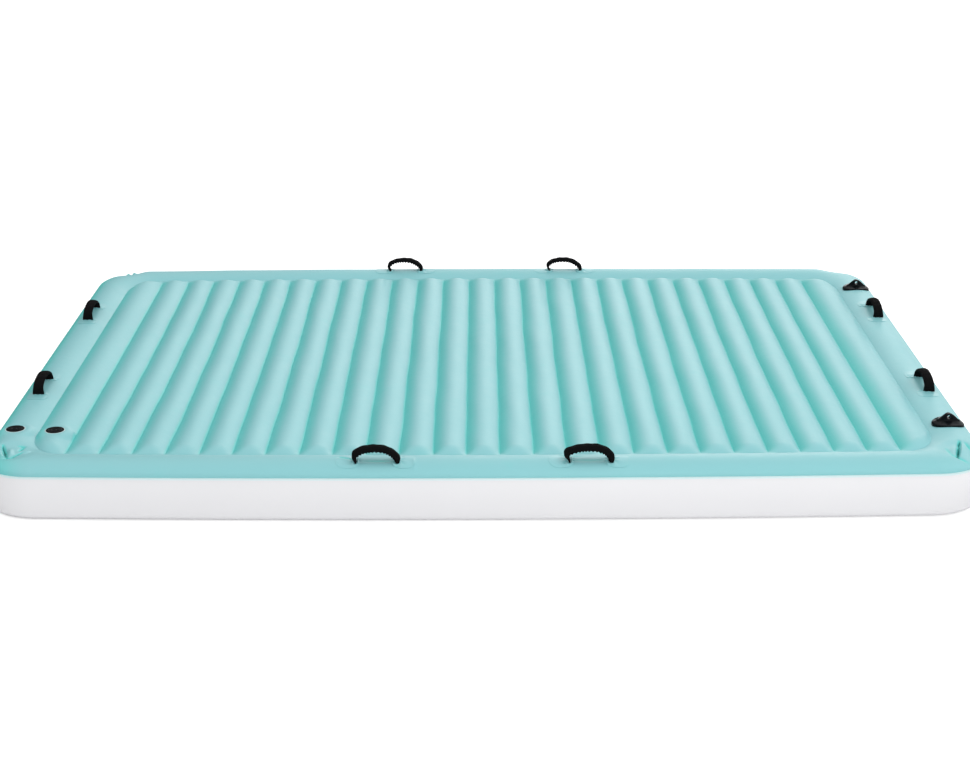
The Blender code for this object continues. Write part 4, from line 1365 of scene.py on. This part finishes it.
FOOT_SINK = 0.0014
HANDLE_SHIFTS = {"front": (0, -0.006), "back": (0, 0), "left": (0, -0.004), "right": (0.006, -0.004)}
for number, place in enumerate(HANDLE_SIDES):
    points, even = handle_points(place, number)
    node = "handle_" + place
    middle = box_middle(node)
    foot_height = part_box(node)[0].z
    if place.startswith(("left", "right")):
        points = np.stack((-points[..., 1], points[..., 0], points[..., 2]), -1)
    shift_x, shift_y = HANDLE_SHIFTS[place.split("_")[0]]
    points = points + np.array((middle.x + shift_x, middle.y + shift_y, foot_height - FOOT_SINK))
    name = "grab_handle_" + place
    handle = make_piece(name, handle_mesh(name, points, even), BLACK_WEBBING)
    smooth_edges(handle, 50)
    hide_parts(node)
    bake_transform(handle)
print("handles", len(HANDLE_SIDES), "of", count_faces(handle), "triangles")

# %% [markdown]
# The tow lug is one moulded piece: an oval flange on the rim, a body that rises like a rounded
# triangle, and an eye for a rope with a ring round it on each side. A small ring and a round head
# on either side of the eye stand for the rivets. It is modelled from one cylinder: the top face is
# pushed up and narrowed step by step, and then the eye is cut and the rings are joined on.

# %% The tow lug's body
LUG_HALF_LENGTH = 0.0480
LUG_HALF_WIDTH = 0.0440
LUG_BASE = 0.0030
LUG_STEPS = (
    (0.95, 0.95, 0.0008), (0.97, 0.96, 0.0003), (0.75, 0.36, 0.0019), (0.92, 0.72, 0.0022),
    (0.87, 0.90, 0.0040), (0.80, 0.92, 0.0050), (0.72, 0.94, 0.0050), (0.62, 0.92, 0.0040),
    (0.50, 0.80, 0.0018),
)
EYE_HEIGHT = 0.018
EYE_RADIUS = 0.0055


def join_solid(target, tool, operation):
    step = target.modifiers.new(operation.lower(), "BOOLEAN")
    step.operation = operation
    step.solver = "EXACT"
    step.object = tool
    apply_modifier(target, step)
    bpy.data.objects.remove(tool)


def add_ring(place, major, minor, turn=(0, 0, 0)):
    bpy.ops.mesh.primitive_torus_add(
        location=place, rotation=turn, major_radius=major, minor_radius=minor,
        major_segments=48, minor_segments=12,
    )
    return bpy.context.object


def add_drum(place, radius, depth, turn=(0, 0, 0), sides=48):
    clear_selection()
    bpy.ops.mesh.primitive_cylinder_add(
        vertices=sides, radius=radius, depth=depth, location=place, rotation=turn
    )
    return bpy.context.object


def apply_place(target):
    bpy.ops.object.transform_apply(location=True, rotation=True, scale=True)
    return target


def raise_top(target, steps, middle):
    """Pushes the top face up or down step by step, and narrows it round a middle each time."""
    only_select(target)
    bpy.ops.object.mode_set(mode="EDIT")
    bpy.ops.mesh.select_mode(type="FACE")
    bpy.ops.mesh.select_all(action="DESELECT")
    work = bmesh.from_edit_mesh(target.data)
    highest = max(vertex.co.z for vertex in work.verts)
    for face in work.faces:
        face.select = face.normal.z > 0.9 and face.calc_center_median().z > highest - 0.00001
    bmesh.update_edit_mesh(target.data)
    for narrow_x, narrow_y, rise in steps:
        bpy.ops.mesh.extrude_region_move(TRANSFORM_OT_translate={"value": (0, 0, rise)})
        bpy.ops.transform.resize(value=(narrow_x, narrow_y, 1), center_override=middle)
    bpy.ops.object.mode_set(mode="OBJECT")


lug_body = add_drum((0, 0, LUG_BASE / 2), 1, LUG_BASE, sides=80)
lug_body.scale = (LUG_HALF_LENGTH, LUG_HALF_WIDTH, 1)
raise_top(apply_place(lug_body), LUG_STEPS, (0, 0, 0))
print("lug's body", len(lug_body.data.polygons), "faces")

# %% Eye, rings and edges of the lug
EYE_BOSS = 0.0112
EYE_BOSS_DEPTH = 0.0150
EYE_CUT = 0.06
EYE_RING = 0.0098
EYE_RING_CORD = 0.0017
EYE_RING_HEIGHT = 0.0165
EYE_RING_AT = 0.0076
RIVET_AT = 0.0310
RIVET_HEIGHT = 0.0062
RIVET_RING = 0.0050
RIVET_RING_CORD = 0.0013
RIVET_HEAD = 0.0030
RIVET_SINK = 0.0004
RIVET_LEAN = math.radians(24)
LYING = (math.radians(90), 0, 0)


def round_edges(target, width, segments, degrees):
    bevel = target.modifiers.new("rounding", "BEVEL")
    bevel.width = width
    bevel.segments = segments
    bevel.limit_method = "ANGLE"
    bevel.angle_limit = math.radians(degrees)
    apply_modifier(target, bevel)


round_edges(lug_body, 0.0006, 2, 28)
join_solid(lug_body, add_drum((0, 0, EYE_RING_HEIGHT), EYE_BOSS, EYE_BOSS_DEPTH, LYING), "UNION")
join_solid(lug_body, add_drum((0, 0, EYE_HEIGHT), EYE_RADIUS, EYE_CUT, LYING), "DIFFERENCE")
for way in (-1, 1):
    eye_ring = add_ring((0, way * EYE_RING_AT, EYE_RING_HEIGHT), EYE_RING, EYE_RING_CORD, LYING)
    join_solid(lug_body, eye_ring, "UNION")
    lean = (0, way * RIVET_LEAN, 0)
    rivet_ring = add_ring((way * RIVET_AT, 0, RIVET_HEIGHT), RIVET_RING, RIVET_RING_CORD, lean)
    join_solid(lug_body, rivet_ring, "UNION")
    bpy.ops.mesh.primitive_uv_sphere_add(
        segments=24, ring_count=12, radius=RIVET_HEAD,
        location=(way * RIVET_AT, 0, RIVET_HEIGHT - RIVET_SINK),
    )
    join_solid(lug_body, bpy.context.object, "UNION")
print("lug", count_faces(lug_body), "triangles")

# %% [markdown]
# The flange has to lie on the rim's round back, so the low parts of the lug are moved down with
# the rim's surface and the eye stays upright. Then the lug is copied to its two places.

# %% Both lugs on the rim
LUG_CROWN_X = 1.3805
DRAPE_LOW = 0.0005
DRAPE_HIGH = 0.0075
for end in ("front", "back"):
    node = "tow_lug_" + end
    y = box_middle(node).y
    mesh = lug_body.data.copy()
    lug = make_piece("moulded_lug_" + end, mesh, BLACK_PLASTIC)
    flat = np.array([vertex.co for vertex in mesh.vertices])
    places = flat[:, :2] + np.array((LUG_CROWN_X, y))
    share = np.clip((flat[:, 2] - DRAPE_LOW) / (DRAPE_HIGH - DRAPE_LOW), 0, 1)
    drop = rim_height(places) - HEIGHT
    heights = HEIGHT + PATCH_CLEAR + flat[:, 2] + drop * (1 - share)
    mesh.vertices.foreach_set("co", np.column_stack((places, heights)).ravel())
    mesh.update()
    smooth_edges(lug, 35)
    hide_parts(node)
    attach(lug, ROOT)
bpy.data.objects.remove(lug_body)
print("lugs at", LUG_CROWN_X, "m")

# %% [markdown]
# A valve is flush with the film. A collar is welded into it, and a pale ring shows where the weld
# is. The insert screws into the collar: its flange has finger notches and a raised ring. In its
# middle sits a dished cap with a plug, on a short strap. The main sizes follow the solid model.

# %% Parts of a valve
COLLAR_RADIUS = 0.0270
COLLAR_BORE = 0.0205
COLLAR_TOP = -0.0030
COLLAR_DEPTH = 0.0270
WELD_RADIUS, WELD_BORE = 0.0296, 0.0269
WELD_LOW, WELD_TOP = -0.0003, 0.0006
FLANGE_RADIUS = 0.0267
FLANGE_LOW = -0.0006
FLANGE_TOP = 0.0022
NOTCHES = 14
NOTCH_AT, NOTCH_RADIUS, NOTCH_DEPTH = 0.0277, 0.0021, 0.0022
GRIP_RING, GRIP_RING_CORD, GRIP_RING_SINK = 0.0190, 0.0009, 0.0002
BARREL_RADIUS = 0.0202
BARREL_WALL = 0.0025
BARREL_LOW = -0.0260
BARREL_TOP = FLANGE_LOW + 0.0005
HOLLOW_TOP = -0.0050
NECK_BORE = 0.0088
CAP_RADIUS = 0.0126
CAP_GAP = 0.0004
CAP_LOW = 0.0003
CAP_TOP = 0.0030
CAP_STEPS = (
    (0.86, 0.86, 0.0), (0.94, 0.94, -0.0010), (0.42, 0.42, 0.0), (0.86, 0.86, 0.0008),
    (0.60, 0.60, 0.0003),
)
PLUG_DEPTH = 0.005
PLUG_OVERLAP = 0.0006
STRAP_AT, STRAP_HEIGHT = 0.0146, 0.0030
STRAP_SIZE = (0.008, 0.0062, 0.0010)
CUT_REACH = 0.01


def between(centre, radius, low, high):
    """A drum between two heights above the film, on the valve's axis."""
    x, y, crown = centre
    return add_drum((x, y, crown + (low + high) / 2), radius, high - low, sides=64)


def bore(target, centre, radius, low, high=CUT_REACH):
    join_solid(target, between(centre, radius, low, high), "DIFFERENCE")


def settle(made, name, finish, body, node=None):
    """Applies the piece's place, and gives it its name, finish, body and node."""
    only_select(made)
    apply_place(made)
    made.name = name
    made.data.name = name
    made.data.materials.clear()
    made.data.materials.append(finish)
    smooth_edges(made, 35)
    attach(made, body)
    if node:
        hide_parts(node)
    return made


def model_collar(centre, valve):
    collar = between(centre, COLLAR_RADIUS, COLLAR_TOP - COLLAR_DEPTH, COLLAR_TOP)
    bore(collar, centre, COLLAR_BORE, -0.04)
    round_edges(collar, 0.0005, 2, 40)
    settle(collar, valve + "_collar", BLACK_PLASTIC, ROOT, valve + "_base")
    weld = between(centre, WELD_RADIUS, WELD_LOW, WELD_TOP)
    bore(weld, centre, WELD_BORE, -CUT_REACH)
    round_edges(weld, 0.0003, 2, 40)
    return settle(weld, valve + "_weld_ring", PALE_WELD, ROOT)


def model_insert(centre, valve):
    x, y, crown = centre
    top = crown + FLANGE_TOP
    insert = between(centre, FLANGE_RADIUS, FLANGE_LOW, FLANGE_TOP)
    round_edges(insert, 0.0007, 3, 40)
    for number in range(NOTCHES):
        angle = 2 * math.pi * (number + 0.5) / NOTCHES
        spot = (x + NOTCH_AT * math.cos(angle), y + NOTCH_AT * math.sin(angle), top)
        join_solid(insert, add_drum(spot, NOTCH_RADIUS, NOTCH_DEPTH, sides=20), "DIFFERENCE")
    join_solid(insert, add_ring((x, y, top - GRIP_RING_SINK), GRIP_RING, GRIP_RING_CORD), "UNION")
    join_solid(insert, between(centre, BARREL_RADIUS, BARREL_LOW, BARREL_TOP), "UNION")
    bore(insert, centre, BARREL_RADIUS - BARREL_WALL, BARREL_LOW - CUT_REACH, HOLLOW_TOP)
    bore(insert, centre, NECK_BORE, -0.02)
    bore(insert, centre, CAP_RADIUS + CAP_GAP, 0.0)
    name = valve + "_screw_insert"
    return settle(insert, name, BLACK_PLASTIC, valve + "_insert", valve + "_insert")


def model_cap(centre, valve):
    x, y, crown = centre
    cap = apply_place(between(centre, CAP_RADIUS, CAP_LOW, CAP_TOP))
    raise_top(cap, CAP_STEPS, (x, y, crown + CAP_TOP))
    round_edges(cap, 0.0003, 2, 40)
    plug = between(centre, NECK_BORE - CAP_GAP, CAP_LOW - PLUG_DEPTH, CAP_LOW + PLUG_OVERLAP)
    join_solid(cap, plug, "UNION")
    clear_selection()
    bpy.ops.mesh.primitive_cube_add(
        size=1, location=(x, y + STRAP_AT, crown + STRAP_HEIGHT), scale=STRAP_SIZE
    )
    join_solid(cap, bpy.context.object, "UNION")
    name = valve + "_dished_cap"
    return settle(cap, name, BLACK_PLASTIC, valve + "_cap", valve + "_cap")


def model_seal(centre, valve):
    low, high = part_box(valve + "_seal")
    cord = (high.z - low.z) / 2
    clear_selection()
    seal = add_ring((*centre[:2], (low.z + high.z) / 2), (high.x - low.x) / 2 - cord, cord)
    name = valve + "_sealing_ring"
    return settle(seal, name, BLACK_RUBBER, valve + "_insert", valve + "_seal")


# %% The two valves
for chamber, crown in (("rim", HEIGHT), ("core", CORE_CROWN)):
    centre = (*VALVE_AT[chamber], crown)
    valve = chamber + "_valve"
    pieces = [build(centre, valve) for build in (model_collar, model_insert, model_cap, model_seal)]
    print(valve, [count_faces(piece) for piece in pieces], "triangles")

# %% [markdown]
# The new films stand for the plain ones, and ride on the mat.

# %% Films take their nodes' places
FILM_NODES = (
    (rim_upper, "rim_top_sheet"), (rim_lower, "rim_bottom_sheet"), (core_upper, "core_top_sheet"),
    (core_lower, "core_bottom_sheet"), (side_band, "side_band"), (chamber_wall, "chamber_wall"),
)
for piece, node in FILM_NODES:
    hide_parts(node)
for piece in [piece for piece, _ in FILM_NODES] + [upper_lip, lower_lip]:
    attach(piece, ROOT)
print("films", len(FILM_NODES), "and two weld lips")

# %% [markdown]
# The area of one side of a patch's mesh is printed, with the size that the patch was cut to.
# Vinyl hardly stretches, so the flat cut is as large.


def one_side(piece):
    return sum(face.area for face in piece.data.polygons) / 2


for patch in patches:
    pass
print("patches", PATCH_SIZE, "m, area", round(one_side(patch), 5), "m2")

# %% [markdown]
# Inside each valve a rubber flap lets air in and keeps it from coming out. Its solid has the right
# shape, so it stays and only gets the rubber finish.

# %% Finish of the flaps
for flap in (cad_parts["rim_valve_flap"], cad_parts["core_valve_flap"]):
    for flap_slot in flap.material_slots:
        flap_slot.material = BLACK_RUBBER
    print(flap.name, len(flap.material_slots), "finish")
